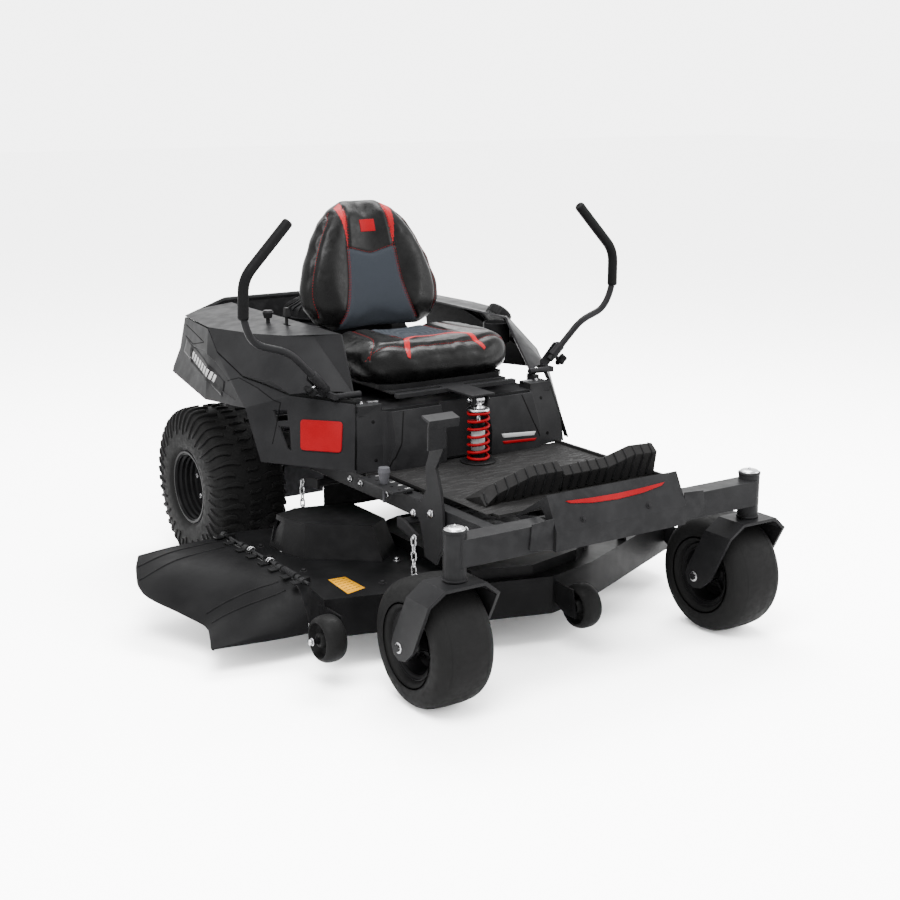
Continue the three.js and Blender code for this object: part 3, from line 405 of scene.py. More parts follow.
class Shape:
    """Gathers several closed forms into one mesh."""

    def __init__(self):
        self.vertices, self.faces = [], []

    def add(self, vertices, faces):
        base = len(self.vertices)
        self.vertices += [Vector(v) for v in vertices]
        self.faces += [tuple(i + base for i in face) for face in faces]
        return self

    def rings(self, rings, closed=False, cap=True):
        """Skins a list of equal rings of points."""
        count = len(rings[0])
        vertices = [p for ring in rings for p in ring]
        faces = []
        spans = len(rings) if closed else len(rings) - 1
        for r in range(spans):
            a, b = r * count, ((r + 1) % len(rings)) * count
            for i in range(count):
                j = (i + 1) % count
                faces.append((a + i, a + j, b + j, b + i))
        if cap and not closed:
            faces.append(tuple(range(count))[::-1])
            faces.append(tuple(range((len(rings) - 1) * count, len(rings) * count)))
        return self.add(vertices, faces)

    def box(self, low, high, turn=None, middle=None):
        """A box between two corners, turned about its middle where a turn is given."""
        corners = [Vector((x, y, z)) for z in (low[2], high[2]) for x, y in
                   ((low[0], low[1]), (high[0], low[1]), (high[0], high[1]), (low[0], high[1]))]
        if turn is not None:
            corners = [middle + turn @ (c - middle) for c in corners]
        return self.add(corners, [(3, 2, 1, 0), (4, 5, 6, 7), (0, 1, 5, 4), (1, 2, 6, 5), (2, 3, 7, 6),
                                  (3, 0, 4, 7)])

    def tube(self, path, radius, sides=12, closed=False):
        """A round bar along a path."""
        return self.rings(sweep_rings(path, radius, sides, closed), closed)

    def lathe(self, origin, axis, profile, sides=48, closed=False):
        """Turns a list of (along, radius) about an axis. A closed profile makes a ring-shaped body."""
        axis = Vector(axis).normalized()
        u = axis.orthogonal().normalized()
        v = axis.cross(u)
        rings = []
        for i in range(sides):
            a = 2 * math.pi * i / sides
            direction = u * math.cos(a) + v * math.sin(a)
            rings.append([origin + axis * s + direction * r for s, r in profile])
        count = len(profile)
        vertices = [p for ring in rings for p in ring]
        faces = []
        for r in range(sides):
            a, b = r * count, ((r + 1) % sides) * count
            for i in range(count if closed else count - 1):
                j = (i + 1) % count
                faces.append((a + i, a + j, b + j, b + i))
        return self.add(vertices, faces)

    def make(self, name, material, body, **options):
        return new_piece(name, self.vertices, self.faces, material, body, **options)

    def make_soft(self, name, material, body, width, **options):
        soften(self.make(name, material, body, **options), width)


def sweep_rings(path, radius, sides, closed):
    """Rings of points around a path, with one radius or one for each point."""
    count = len(path)
    radii = radius if isinstance(radius, (list, tuple)) else [radius] * count
    rings = []
    normal = None
    for i, point in enumerate(path):
        before = path[i - 1] if closed or i else path[0]
        after = path[(i + 1) % count] if closed or i + 1 < count else path[-1]
        tangent = (after - before).normalized()
        if normal is None:
            normal = tangent.orthogonal().normalized()
        normal = (normal - tangent * normal.dot(tangent)).normalized()
        across = tangent.cross(normal)
        rings.append([point + (normal * math.cos(t) + across * math.sin(t)) * radii[i]
                      for t in (2 * math.pi * s / sides for s in range(sides))])
    return rings


def rounded_path(points, bend, steps=8):
    """Straight runs joined by smooth bends."""
    path = [points[0]]
    for before, corner, after in zip(points, points[1:], points[2:]):
        a = corner + (before - corner).normalized() * bend
        b = corner + (after - corner).normalized() * bend
        for s in range(steps + 1):
            t = s / steps
            path.append(a * (1 - t) ** 2 + corner * 2 * t * (1 - t) + b * t * t)
    path.append(points[-1])
    return path


def helix(middle, radius, bottom, top, turns, per_turn):
    """A coil about Z whose end turns lie flat."""
    flat_ends = 0.75
    points = []
    for i in range(int(turns * per_turn) + 1):
        turn = i / per_turn
        t = min(max((turn - flat_ends) / (turns - 2 * flat_ends), 0), 1)
        a = 2 * math.pi * turn
        points.append(Vector((middle.x + radius * math.cos(a), middle.y + radius * math.sin(a),
                              bottom + (top - bottom) * t)))
    return points


def bolt(shape, place, axis, across=0.013, height=0.006, washer=0.019):
    """Hex head on a washer, standing on a surface."""
    axis = Vector(axis).normalized()
    shape.lathe(place, axis, [(0, 0.0001), (0, washer / 2), (0.0015, washer / 2), (0.0018, washer / 2 - 0.0004),
                              (0.0018, 0.0001)], 24)
    r = across / 2
    shape.lathe(place + axis * 0.0018, axis, [(0, 0.0001), (0, r), (height * 0.8, r), (height, r * 0.85),
                                              (height, 0.0001)], 6)


# ------------------------------------------------------------------ wheels
def sample_profile(profile, t):
    """Point and outward normal at the fraction t along an open (x, radius) outline."""
    lengths = [0]
    for (xa, ra), (xb, rb) in zip(profile, profile[1:]):
        lengths.append(lengths[-1] + math.hypot(xb - xa, rb - ra))
    want = t * lengths[-1]
    for i, (a, b) in enumerate(zip(lengths, lengths[1:])):
        if want <= b or i == len(profile) - 2:
            k = (want - a) / (b - a)
            (xa, ra), (xb, rb) = profile[i], profile[i + 1]
            dx, dr = xb - xa, rb - ra
            size = math.hypot(dx, dr)
            return xa + dx * k, ra + dr * k, -dr / size, dx / size
    raise ValueError(t)


def spline(points, steps=6):
    """A smooth curve through every given point."""
    points = [Vector(p) for p in points]
    ends = [points[0] * 2 - points[1], *points, points[-1] * 2 - points[-2]]
    curve = []
    for p0, p1, p2, p3 in zip(ends, ends[1:], ends[2:], ends[3:]):
        for s in range(steps):
            t = s / steps
            curve.append(0.5 * (2 * p1 + (p2 - p0) * t + (2 * p0 - 5 * p1 + 4 * p2 - p3) * t * t
                                + (3 * p1 - p0 - 3 * p2 + p3) * t ** 3))
    curve.append(points[-1])
    return curve


def smooth_profile(half, steps=6):
    """Mirrors the outline of one side and rounds it. The half runs from bead to crown, in millimetres."""
    whole = [(x, r, 0) for x, r in half] + [(-x, r, 0) for x, r in reversed(half)]
    return [(p.x * MM, p.y * MM) for p in spline(whole, steps)]


def axle_of(node):
    """Middle of a CAD node's box, which for a wheel is the middle of its axle."""
    low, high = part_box(node)
    return (low + high) / 2


def front_tyre(side):
    """Smooth caster tyre with a ring line near each shoulder."""
    centre = axle_of(f"front_tyre_{side}")
    crown = smooth_profile([(62, 79), (63, 90), (74, 97), (81, 112), (82, 126), (79, 142), (70, 154), (55, 161),
                            (30, 164.6), (8, 165)])[::-1]
    inner = [(0.05, 0.085), (-0.05, 0.085)]
    shape = Shape().lathe(centre, LEFTWARD, crown + inner, 112, closed=True)
    for x in (-0.052, 0.052):
        shape.lathe(centre, LEFTWARD, [(x - 0.0016, 0.158), (x, 0.1622), (x + 0.0016, 0.158)], 112, closed=True)
    for x in (-0.079, 0.079):
        shape.lathe(centre, LEFTWARD, [(x - 0.003, 0.104), (x + 0.003 * (1 if x > 0 else -1), 0.106),
                                        (x - 0.003, 0.108)], 112, closed=True)
    shape.make_soft(f"caster_tyre_{side}", "tyre", f"caster_wheel_{side}", 0, replaces=(f"front_tyre_{side}",))


def rear_tyre(side):
    """Turf tyre: two rows of wavy bars, long and short in turn, and small blocks between them."""
    centre = axle_of(f"rear_tyre_{side}")
    outline = [(107, 105), (109, 118), (118, 130), (121, 150), (120.5, 180), (118, 205), (110, 228), (96, 241),
               (60, 245.5), (20, 246.5)]
    crown = smooth_profile(outline)[::-1]
    shape = Shape().lathe(centre, LEFTWARD, crown + [(0.09, 0.112), (-0.09, 0.112)], 144, closed=True)
    count = 46
    for i in range(count):
        for sign in (-1, 1):
            angle = 2 * math.pi * (i + (0.5 if sign > 0 else 0)) / count
            start, end = (0.12, 0.33) if i % 2 else (0.075, 0.36)
            lug(shape, centre, crown, sign, angle, start, end, 0.056)
        block_angle = 2 * math.pi * (i + 0.25) / count
        lug(shape, centre, crown, 1, block_angle, -0.035, 0.05, 0.045, skew=0.02)
    piece = shape.make(f"drive_tyre_{side}", "tyre", f"drive_wheel_{side}", replaces=(f"rear_tyre_{side}",))
    soften(piece, 0.0009, 1)


def lug(shape, centre, crown, sign, angle, start, end, width, skew=0.05):
    """A raised rubber bar that runs out from the middle of the tread on a wavy line."""
    steps = 9
    rings = []
    for s in range(steps + 1):
        k = s / steps
        t = 0.5 + sign * (start + (end - start) * k)
        x, radius, nx, nr = sample_profile(crown, t)
        if nr < 0 and abs(t - 0.5) < 0.3:
            nx, nr = -nx, -nr
        if nx * x < 0 and abs(t - 0.5) >= 0.3:
            nx, nr = -nx, -nr
        wave = skew * (math.sin(k * 7.5) * 0.45 + k * 0.6)
        height = 0.0072 * (1 - 0.55 * max(0, k - 0.55) / 0.45)
        half = width / 2 * (1 - 0.25 * k) * (1 + 0.25 * math.sin(k * 9))
        ring = []
        for da, lift in ((-half, -0.002), (-half * 0.78, height), (half * 0.78, height), (half, -0.002)):
            a = angle + wave + da
            r = radius + nr * lift
            ring.append(centre + Vector((x + nx * lift, r * math.sin(a), r * math.cos(a))))
        rings.append(ring)
    shape.rings(rings)


def front_rim(side):
    """Dished caster rim with five ribs on each face."""
    centre = axle_of(f"front_rim_{side}")
    outer = [(0.0655, 0.090), (0.066, 0.087), (0.063, 0.084), (0.061, 0.078), (0.052, 0.074), (0.038, 0.071),
             (0.020, 0.068), (0.012, 0.060), (0.014, 0.050), (0.020, 0.040), (0.019, 0.030), (0.024, 0.024),
             (0.056, 0.022), (0.058, 0.020), (0.058, 0.0105)]
    back = [(-x, r) for x, r in reversed(outer)]
    barrel = [(-0.06, 0.0765), (0.06, 0.0765)]
    shape = Shape().lathe(centre, LEFTWARD, outer + back + barrel, 96, closed=True)
    for i in range(5):
        a = 2 * math.pi * i / 5
        for sign in (-1, 1):
            rib_middle = centre + Vector((sign * 0.022, 0.05 * math.sin(a), 0.05 * math.cos(a)))
            turn = Matrix.Rotation(-a, 3, "X")
            low = (rib_middle.x - 0.006, rib_middle.y - 0.003, rib_middle.z - 0.02)
            high = (rib_middle.x + 0.006, rib_middle.y + 0.003, rib_middle.z + 0.02)
            shape.box(low, high, turn, rib_middle)
    shape.make_soft(f"caster_rim_{side}", "rim_paint", f"caster_wheel_{side}", 0.0008,
                    replaces=(f"front_rim_{side}",))


def rear_rim(side, sign):
    """Stepped drive rim, deep on its outer face, with five lug nuts."""
    middle = axle_of(f"rear_rim_{side}")
    middle.x = axle_of(f"rear_tyre_{side}").x
    out = Vector((sign, 0, 0))
    steps = [(0.110, 0.117), (0.1125, 0.1145), (0.112, 0.108), (0.104, 0.104), (0.098, 0.1035), (0.092, 0.0985),
             (0.082, 0.0985), (0.078, 0.094), (0.066, 0.094), (0.062, 0.089), (0.052, 0.088), (0.047, 0.082),
             (0.044, 0.060), (0.047, 0.046), (0.052, 0.040), (0.052, 0.026), (0.056, 0.022), (0.056, 0.0005)]
    back = [(-0.112, 0.0005), (-0.112, 0.03), (0.02, 0.034), (0.02, 0.09), (-0.112, 0.104), (-0.112, 0.115),
            (-0.107, 0.1165), (-0.1068, 0.1035), (0.1068, 0.1035), (0.107, 0.1165)]
    shape = Shape().lathe(middle, out, steps + back, 96, closed=True)
    shape.make_soft(f"drive_rim_{side}", "rim_paint", f"drive_wheel_{side}", 0.0008,
                    replaces=(f"rear_rim_{side}",))
    nuts = Shape()
    for i in range(5):
        a = 2 * math.pi * i / 5
        place = middle + out * 0.0455 + Vector((0, 0.056 * math.sin(a), 0.056 * math.cos(a)))
        bolt(nuts, place, out, 0.019, 0.013, 0.024)
    nuts.make_soft(f"lug_nuts_{side}", "bright_metal", f"drive_wheel_{side}", 0.0006)


def gauge_wheel(name):
    """Small deck wheel with a dished hub on both faces."""
    centre = axle_of(f"gauge_wheel_{name}")
    half = [(29, 46), (29.5, 49), (26, 54), (18, 58.5), (8, 60.6)]
    crown = smooth_profile(half, 4)[::-1]
    dish = [(0.027, 0.046), (0.012, 0.043), (0.008, 0.036), (0.008, 0.024), (0.012, 0.021), (0.026, 0.018),
            (0.027, 0.0078)]
    back = [(-x, r) for x, r in reversed(dish)]
    shape = Shape().lathe(centre, LEFTWARD, crown + dish + back, 64, closed=True)
    shape.make_soft(f"anti_scalp_wheel_{name}", "gauge_rubber", f"gauge_{name}", 0,
                    replaces=(f"gauge_wheel_{name}",))


def axle_hardware():
    """Axle nuts, the caster tubes' bright caps and collars, and the small wheels' nuts."""
    for side, sign in SIDES:
        nuts = Shape()
        axle = axle_of(f"front_rim_{side}")
        low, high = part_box(f"caster_fork_{side}")
        for x, out in ((low.x, -1), (high.x, 1)):
            bolt(nuts, Vector((x - out * 0.0055, axle.y, axle.z)), (out, 0, 0), 0.019, 0.0035, 0.028)
        nuts.make(f"caster_axle_nuts_{side}", "bright_metal", f"caster_{side}")
        cap = Shape()
        top = at(sign * 480, 0, 472)
        cap.lathe(top, UP, [(-0.0005, 0.0265), (0.0015, 0.0262), (0.0045, 0.022), (0.0065, 0.014),
                            (0.0072, 0.0005)], 40)
        cap.lathe(top + UP * 0.0065, UP, [(0, 0.004), (0.003, 0.0038), (0.005, 0.002), (0.006, 0.0003)], 16)
        cap.make(f"caster_cap_{side}", "bright_metal", "chassis")
        rings = Shape()
        for z in (344.5, 465):
            rings.lathe(at(sign * 480, 0, z), UP,
                        [(0, 0.029), (0.0008, 0.0302), (0.0055, 0.0302), (0.0063, 0.029)], 40)
        rings.make(f"caster_tube_collars_{side}", "frame_paint", "chassis")
    hubs = Shape()
    for name in ("centre", "right", "left"):
        centre = axle_of(f"gauge_wheel_{name}")
        out = -1 if name == "right" else 1
        bolt(hubs, centre + Vector((out * 0.044, 0, 0)), (out, 0, 0), 0.016, 0.008, 0.02)
    hubs.make("gauge_wheel_nuts", "bright_metal", "deck")


# ------------------------------------------------------------------ soft seat
PAD_VOXEL = 0.0055
PAD_PRESSURE = 4.0
PAD_FRAMES = 20
PAD_TREES = {}
CUSHION_FULLNESS = 1.13
STITCH_STEP, STITCH_PITCH, STITCH_LENGTH, STITCH_RADIUS = 0.0018, 0.0075, 0.0052, 0.0008


def superform(low, high, power, divisions=26):
    """A closed rounded block: a divided cube pushed out to a squarish ball and fitted to a box."""
    bm = bmesh.new()
    bmesh.ops.create_cube(bm, size=2)
    bmesh.ops.subdivide_edges(bm, edges=bm.edges, cuts=divisions, use_grid_fill=True)
    low, high = Vector(low), Vector(high)
    middle, half = (low + high) / 2, (high - low) / 2
    for vertex in bm.verts:
        c = vertex.co
        size = (abs(c.x) ** power + abs(c.y) ** power + abs(c.z) ** power) ** (1 / power)
        unit = c / size
        vertex.co = Vector((middle.x + unit.x * half.x, middle.y + unit.y * half.y, middle.z + unit.z * half.z))
    return bm


def bell(x, centre, width):
    """A smooth bump of height one."""
    return math.exp(-((x - centre) / width) ** 2)


def cushion_form():
    """Seat cushion: raised side bolsters, a dished middle and a rolled front edge."""
    low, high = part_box("seat_cushion")
    inset = Vector((0.008, 0.006, 0.003))
    bm = superform(low + inset, high - inset, 3.5)
    middle = (low + high) / 2
    half = (high - low) / 2
    for vertex in bm.verts:
        c = vertex.co
        u = (c.x - middle.x) / half.x
        v = (c.y - middle.y) / half.y
        w = (c.z - low.z) / (high.z - low.z)
        taper = 1 - 0.13 * max(0, v) ** 2 - 0.03 * (1 - w) ** 2
        c.x = middle.x + u * half.x * taper
        if w > 0.4:
            lift = (w - 0.4) / 0.6
            bolster = bell(abs(u), 0.74, 0.2)
            dish = bell(u, 0, 0.46) * (0.25 + 0.75 * bell(v, 0.2, 0.6))
            c.z += lift * (0.016 * bolster - 0.026 * dish - 0.004 * max(0, -v - 0.3))
            c.z = min(c.z, high.z - 0.003)
        c.y -= 0.010 * bell(w, 0.42, 0.35) * max(0, -v) * (1 - 0.5 * u * u)
    return bm


def back_half_width(k):
    """Half width of the backrest at the height fraction k, as a share of the widest."""
    stations = [(0.0, 0.66), (0.08, 0.86), (0.2, 0.985), (0.32, 1.0), (0.5, 0.93), (0.68, 0.80), (0.82, 0.655),
                (0.92, 0.49), (1.0, 0.26)]
    for (a, wa), (b, wb) in zip(stations, stations[1:]):
        if k <= b:
            t = (k - a) / (b - a)
            t = t * t * (3 - 2 * t) * 0.35 + t * 0.65
            return wa + (wb - wa) * t
    return stations[-1][1]


def back_form():
    """Backrest: egg-shaped outline, leaning back, with bolsters either side of a flat middle."""
    low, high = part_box("seat_back")
    bm = superform((-1, -1, 0), (1, 1, 1), 3.4, 30)
    middle_x = (low.x + high.x) / 2
    for vertex in bm.verts:
        c = vertex.co
        k = min(max(c.z, 0), 1)
        u, v = c.x, c.y
        half = (high.x - low.x) / 2 * (1.0 - 0.012)
        width = half * back_half_width(k)
        section = max(1e-3, (1 - abs(2 * k - 1) ** 3.4) ** (1 / 3.4))
        u, v = u / section, v / section
        height = low.z + 0.004 + (high.z - low.z - 0.008) * k
        lean = at(0, 1118, 0).y + 0.094 * k + 0.012 * k * k
        depth = 0.108 - 0.022 * k
        rounding = min(1.0, section * 1.05)
        front = lean + 0.006
        y = front + depth / 2 + v * depth / 2 * rounding
        if v < 0:
            bolster = bell(abs(u), 0.68, 0.25) * bell(k, 0.42, 0.42)
            dish = bell(u, 0, 0.42)
            y += -v * (0.016 * dish - 0.008 * bolster + 0.012 * max(0, abs(u) - 0.8))
        c.x = middle_x + u * width * (1 - 0.10 * max(0, v))
        c.y = y
        c.z = height
    return bm


def mesh_object(name, bm):
    """Turns a working mesh into an object in the scene."""
    mesh = bpy.data.meshes.new(name)
    bmesh.ops.recalc_face_normals(bm, faces=bm.faces)
    bm.to_mesh(mesh)
    bm.free()
    obj = bpy.data.objects.new(name, mesh)
    bpy.context.scene.collection.objects.link(obj)
    return obj


def apply_modifiers(obj):
    """Keeps what the modifiers have made and removes them."""
    graph = bpy.context.evaluated_depsgraph_get()
    mesh = bpy.data.meshes.new_from_object(obj.evaluated_get(graph))
    obj.modifiers.clear()
    obj.data = mesh


def inflate(obj, cap):
    """Blows the pad up as cloth, holds every point within a cap of where it started, and keeps the result."""
    remesh = obj.modifiers.new("remesh", "REMESH")
    remesh.mode = "VOXEL"
    remesh.voxel_size = PAD_VOXEL
    apply_modifiers(obj)
    start = [v.co.copy() for v in obj.data.vertices]
    cloth = obj.modifiers.new("cloth", "CLOTH")
    settings = cloth.settings
    settings.quality = 4
    settings.use_pressure = True
    settings.uniform_pressure_force = PAD_PRESSURE
    settings.tension_stiffness = 22
    settings.compression_stiffness = 8
    settings.bending_stiffness = 4.0
    settings.effector_weights.gravity = 0
    cloth.point_cache.frame_start = 1
    cloth.point_cache.frame_end = PAD_FRAMES
    scene = bpy.context.scene
    for frame_number in range(1, PAD_FRAMES + 1):
        scene.frame_set(frame_number)
    apply_modifiers(obj)
    scene.frame_set(1)
    for vertex, before in zip(obj.data.vertices, start):
        move = vertex.co - before
        if move.length > cap:
            vertex.co = before + move.normalized() * cap
    smooth = obj.modifiers.new("smooth", "SMOOTH")
    smooth.factor = 0.5
    smooth.iterations = 14
    levels = obj.modifiers.new("subdivision", "SUBSURF")
    levels.levels = levels.render_levels = 1
    apply_modifiers(obj)


def keep_inside(obj, low, high):
    """Holds every point just inside the pad's CAD box."""
    margin = 0.0015
    for vertex in obj.data.vertices:
        for axis in range(3):
            vertex.co[axis] = min(max(vertex.co[axis], low[axis] + margin), high[axis] - margin)


def sew(obj, paths, flat_axis, facing, depth, width):
    """Pulls the surface in along each seam on the side that faces a direction."""
    points = []
    for path in paths:
        for p in resample(path, 0.002):
            flat = p.copy()
            flat[flat_axis] = 0
            points.append(flat)
    tree = KDTree(len(points))
    for i, p in enumerate(points):
        tree.insert(p, i)
    tree.balance()
    normals = [v.normal.copy() for v in obj.data.vertices]
    for vertex, normal in zip(obj.data.vertices, normals):
        if normal.dot(facing) < 0.15:
            continue
        flat = vertex.co.copy()
        flat[flat_axis] = 0
        near = tree.find(flat)[2]
        if near < width * 2.5:
            vertex.co -= normal * depth * math.exp(-(near / width) ** 2)


def lay_on(obj, points, direction):
    """Drops a line of points onto the pad along a direction."""
    if obj.name not in PAD_TREES:
        bm = bmesh.new()
        bm.from_mesh(obj.data)
        PAD_TREES[obj.name] = BVHTree.FromBMesh(bm)
        bm.free()
    landed = []
    for p in points:
        hit, normal, _, _ = PAD_TREES[obj.name].ray_cast(p - direction * 0.6, direction)
        if hit is not None:
            landed.append((hit, normal))
    return landed


def stitch_line(name, pad, points, direction):
    """A row of separate stitches lying along a seam."""
    landed = lay_on(pad, resample(points, STITCH_STEP), direction)
    shape = Shape()
    pitch, length = int(STITCH_PITCH / STITCH_STEP), int(STITCH_LENGTH / STITCH_STEP)
    for i in range(0, len(landed) - length, pitch):
        part = landed[i:i + length + 1]
        path = [hit + normal * (0.0006 if 0 < j < length else -0.0002) for j, (hit, normal) in enumerate(part)]
        shape.tube(path, STITCH_RADIUS, 6)
    shape.make(name, "thread_red", "seat")


def resample(points, step):
    """The same polyline with points no further apart than about one step."""
    out = [points[0]]
    for a, b in zip(points, points[1:]):
        count = max(1, int((b - a).length / step))
        out += [a.lerp(b, (i + 1) / count) for i in range(count)]
    return out


def strip_on(name, pad, points, widths, direction, material):
    """A sewn-on band that follows the pad, crowned across its width."""
    last = len(points) - 1
    rings = []
    for i, p in enumerate(points):
        tangent = (points[min(i + 1, last)] - points[max(i - 1, 0)]).normalized()
        across = tangent.cross(direction).normalized()
        half = widths[i] / 2
        landed = lay_on(pad, [p + across * half * s for s in (-1, -0.5, 0, 0.5, 1)], direction)
        if len(landed) == 5:
            crown = (0.0, 0.8, 1.0, 0.8, 0.0)
            rings.append([hit + normal * (0.0004 + 0.0016 * c) for (hit, normal), c in zip(landed, crown)]
                         + [hit - normal * 0.001 for hit, normal in reversed(landed)])
    Shape().rings(rings).make_soft(name, material, "seat", 0, slot="seat_vinyl")


def finish_pad(pad, node, materials, choose):
    """Colours the pad's faces and ties it to the seat in place of its CAD node."""
    paint_faces(pad, materials, choose)
    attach(pad, "seat")
    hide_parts(node)


def paint_faces(obj, materials, choose):
    """Gives each face the material that choose names for its middle and normal."""
    obj.data.materials.clear()
    for name in materials:
        obj.data.materials.append(MAT[name])
    for polygon in obj.data.polygons:
        polygon.use_smooth = True
        polygon.material_index = choose(polygon.center, polygon.normal)


def seat_curve(points):
    """A smooth line on the backrest, from (x, z) pairs in millimetres."""
    return spline([at(x, 1100, z) for x, z in points], 8)


def make_backrest():
    """Padded backrest with a woven middle, red shoulder flashes, seams, stitches and a plain badge."""
    low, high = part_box("seat_back")
    pad = mesh_object("backrest", back_form())
    inflate(pad, 0.009)
    keep_inside(pad, low, high)
    side_seams = [seat_curve([(s * 70, 1118), (s * 76, 1060), (s * 82, 1000), (s * 92, 900), (s * 112, 822),
                              (s * 136, 776)]) for s in (-1, 1)]
    neck_seam = seat_curve([(-82, 1000), (-50, 992), (0, 980), (50, 992), (82, 1000)])
    bolster_seams = [seat_curve([(s * 118, 1104), (s * 168, 1030), (s * 206, 940), (s * 222, 860),
                                 (s * 206, 796)]) for s in (-1, 1)]
    sew(pad, side_seams + bolster_seams, 1, FORWARD, 0.0045, 0.0075)
    sew(pad, [neck_seam], 1, FORWARD, 0.003, 0.006)
    keep_inside(pad, low, high)

    def choose(centre, normal):
        local_x = (centre.x - ORIGIN_X) / MM
        z = centre.z / MM
        edge = panel_half(z)
        v_line = 980 + 0.25 * abs(local_x)
        if normal.y < -0.2 and abs(local_x) < edge and z < v_line:
            return 1
        outer = edge + max(0.0, (z - 1004) * 0.24)
        if normal.y < -0.15 and z > 1006 and edge < abs(local_x) < outer:
            return 2
        return 0

    finish_pad(pad, "seat_back", ("seat_vinyl", "seat_weave", "seat_red"), choose)
    for i, seam in enumerate(side_seams + bolster_seams):
        for offset in (-3.2, 3.2) if i < 2 else (3.2,):
            shifted = [p + Vector((offset * MM, 0, 0)) for p in seam]
            stitch_line(f"backrest_stitches_{i}_{'a' if offset < 0 else 'b'}", pad, shifted, REARWARD)
    stitch_line("backrest_stitches_neck", pad, [p + Vector((0, 0, 0.0035)) for p in neck_seam], REARWARD)
    rings = []
    for i in range(9):
        landed = lay_on(pad, [at(-26 + 52 * j / 12, 1100, 1046 + 36 * i / 8) for j in range(13)], REARWARD)
        rings.append([hit + normal * 0.0016 for hit, normal in landed]
                     + [hit - normal * 0.001 for hit, normal in reversed(landed)])
    Shape().rings(rings).make_soft("backrest_badge", "accent_red", "seat", 0.0008)


def panel_half(z):
    """Half width of the backrest's middle panel at a height, in millimetres."""
    stations = [(740, 150), (782, 132), (822, 112), (900, 92), (1000, 82), (1060, 76), (1118, 70), (1200, 64)]
    for (za, wa), (zb, wb) in zip(stations, stations[1:]):
        if z <= zb:
            return wa + (wb - wa) * (z - za) / (zb - za)
    return 60


def cushion_curve(points, s=1):
    """A smooth line over the cushion, from (x, y) pairs in millimetres."""
    return spline([at(s * x, y, 745) for x, y in points], 8)


def make_cushion():
    """Padded cushion with a woven middle, seams, stitches and a red band along its front roll."""
    low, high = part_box("seat_cushion")
    pad = mesh_object("seat_pad", cushion_form())
    inflate(pad, 0.013)
    keep_inside(pad, low, high)
    for vertex in pad.data.vertices:
        vertex.co.z = low.z + (vertex.co.z - low.z) * CUSHION_FULLNESS
    side = [cushion_curve([(150, 1100), (158, 1000), (172, 900), (206, 828), (236, 800)], s) for s in (-1, 1)]
    front = cushion_curve([(-250, 812), (-180, 790), (0, 780), (180, 790), (250, 812)])
    bands = [cushion_curve([(92, 1090), (96, 980), (98, 900), (94, 850)], s) for s in (-1, 1)]
    seams = side + [front] + bands
    sew(pad, seams, 2, UP, 0.004, 0.008)

    def choose(centre, normal):
        local_x = abs(centre.x - ORIGIN_X) / MM
        local_y = (centre.y - ORIGIN_Y) / MM
        return 1 if normal.z > 0.3 and local_x < 92 and local_y > 846 else 0

    finish_pad(pad, "seat_cushion", ("seat_vinyl", "seat_weave"), choose)
    for i, seam in enumerate(seams):
        stitch_line(f"cushion_stitches_{i}", pad, [p + Vector((0, 0.0035, 0)) for p in seam], DOWN)
    half = [(132, 757), (124, 776), (112, 802), (96, 828), (66, 843), (32, 848)]
    band = cushion_curve([(-x, y) for x, y in half] + half[::-1])
    last = len(band) - 1
    widths = [0.004 + 0.013 * math.sin(math.pi * min(1.0, 0.08 + 2.2 * min(k, last - k) / last)) ** 0.7
              if min(k, last - k) < 0.4 * last else 0.008 for k in range(last + 1)]
    strip_on("cushion_red_band", pad, band, widths, DOWN, "seat_red")


# ------------------------------------------------------------------ levers
LEVER_BENDS = [(394, 785, 666), (505, 776, 779), (606, 789, 808), (636, 785, 873), (633, 782, 988),
               (492, 782, 1135)]


def control_levers():
    """Bent steering tubes with ribbed grips."""
    for side, s in SIDES:
        path = [at(s * x, y, z) for x, y, z in LEVER_BENDS]
        path[-1] = path[-2].lerp(path[-1], 0.985)
        tube = rounded_path(path, 0.034)
        rod = Shape().tube(tube, 0.0102, 24)
        rod.make_soft(f"steering_tube_{side}", "frame_paint", f"lever_{side}", 0.0008,
                      replaces=(f"lever_tube_{side}",))
        start = path[3].lerp(path[4], 0.05)
        grip_path = resample(rounded_path([start, path[4], path[5]], 0.036), 0.0028)
        radii = []
        count = len(grip_path)
        for i in range(count):
            k = i / (count - 1)
            end = min(1.0, min(i, count - 1 - i) / 2.2)
            ridge = 0.00012 * (1 if (i // 2) % 2 else -1) * (1 if 0.06 < k < 0.95 else 0)
            collar = 0.0004 if k < 0.03 else 0
            radii.append(0.0151 * (0.80 + 0.20 * math.sqrt(end)) + ridge + collar)
        grip = Shape().tube(grip_path, radii, 28)
        grip.make_soft(f"hand_grip_{side}", "grip_rubber", f"lever_{side}", 0, replaces=(f"lever_grip_{side}",))
        star_knob(side, s)


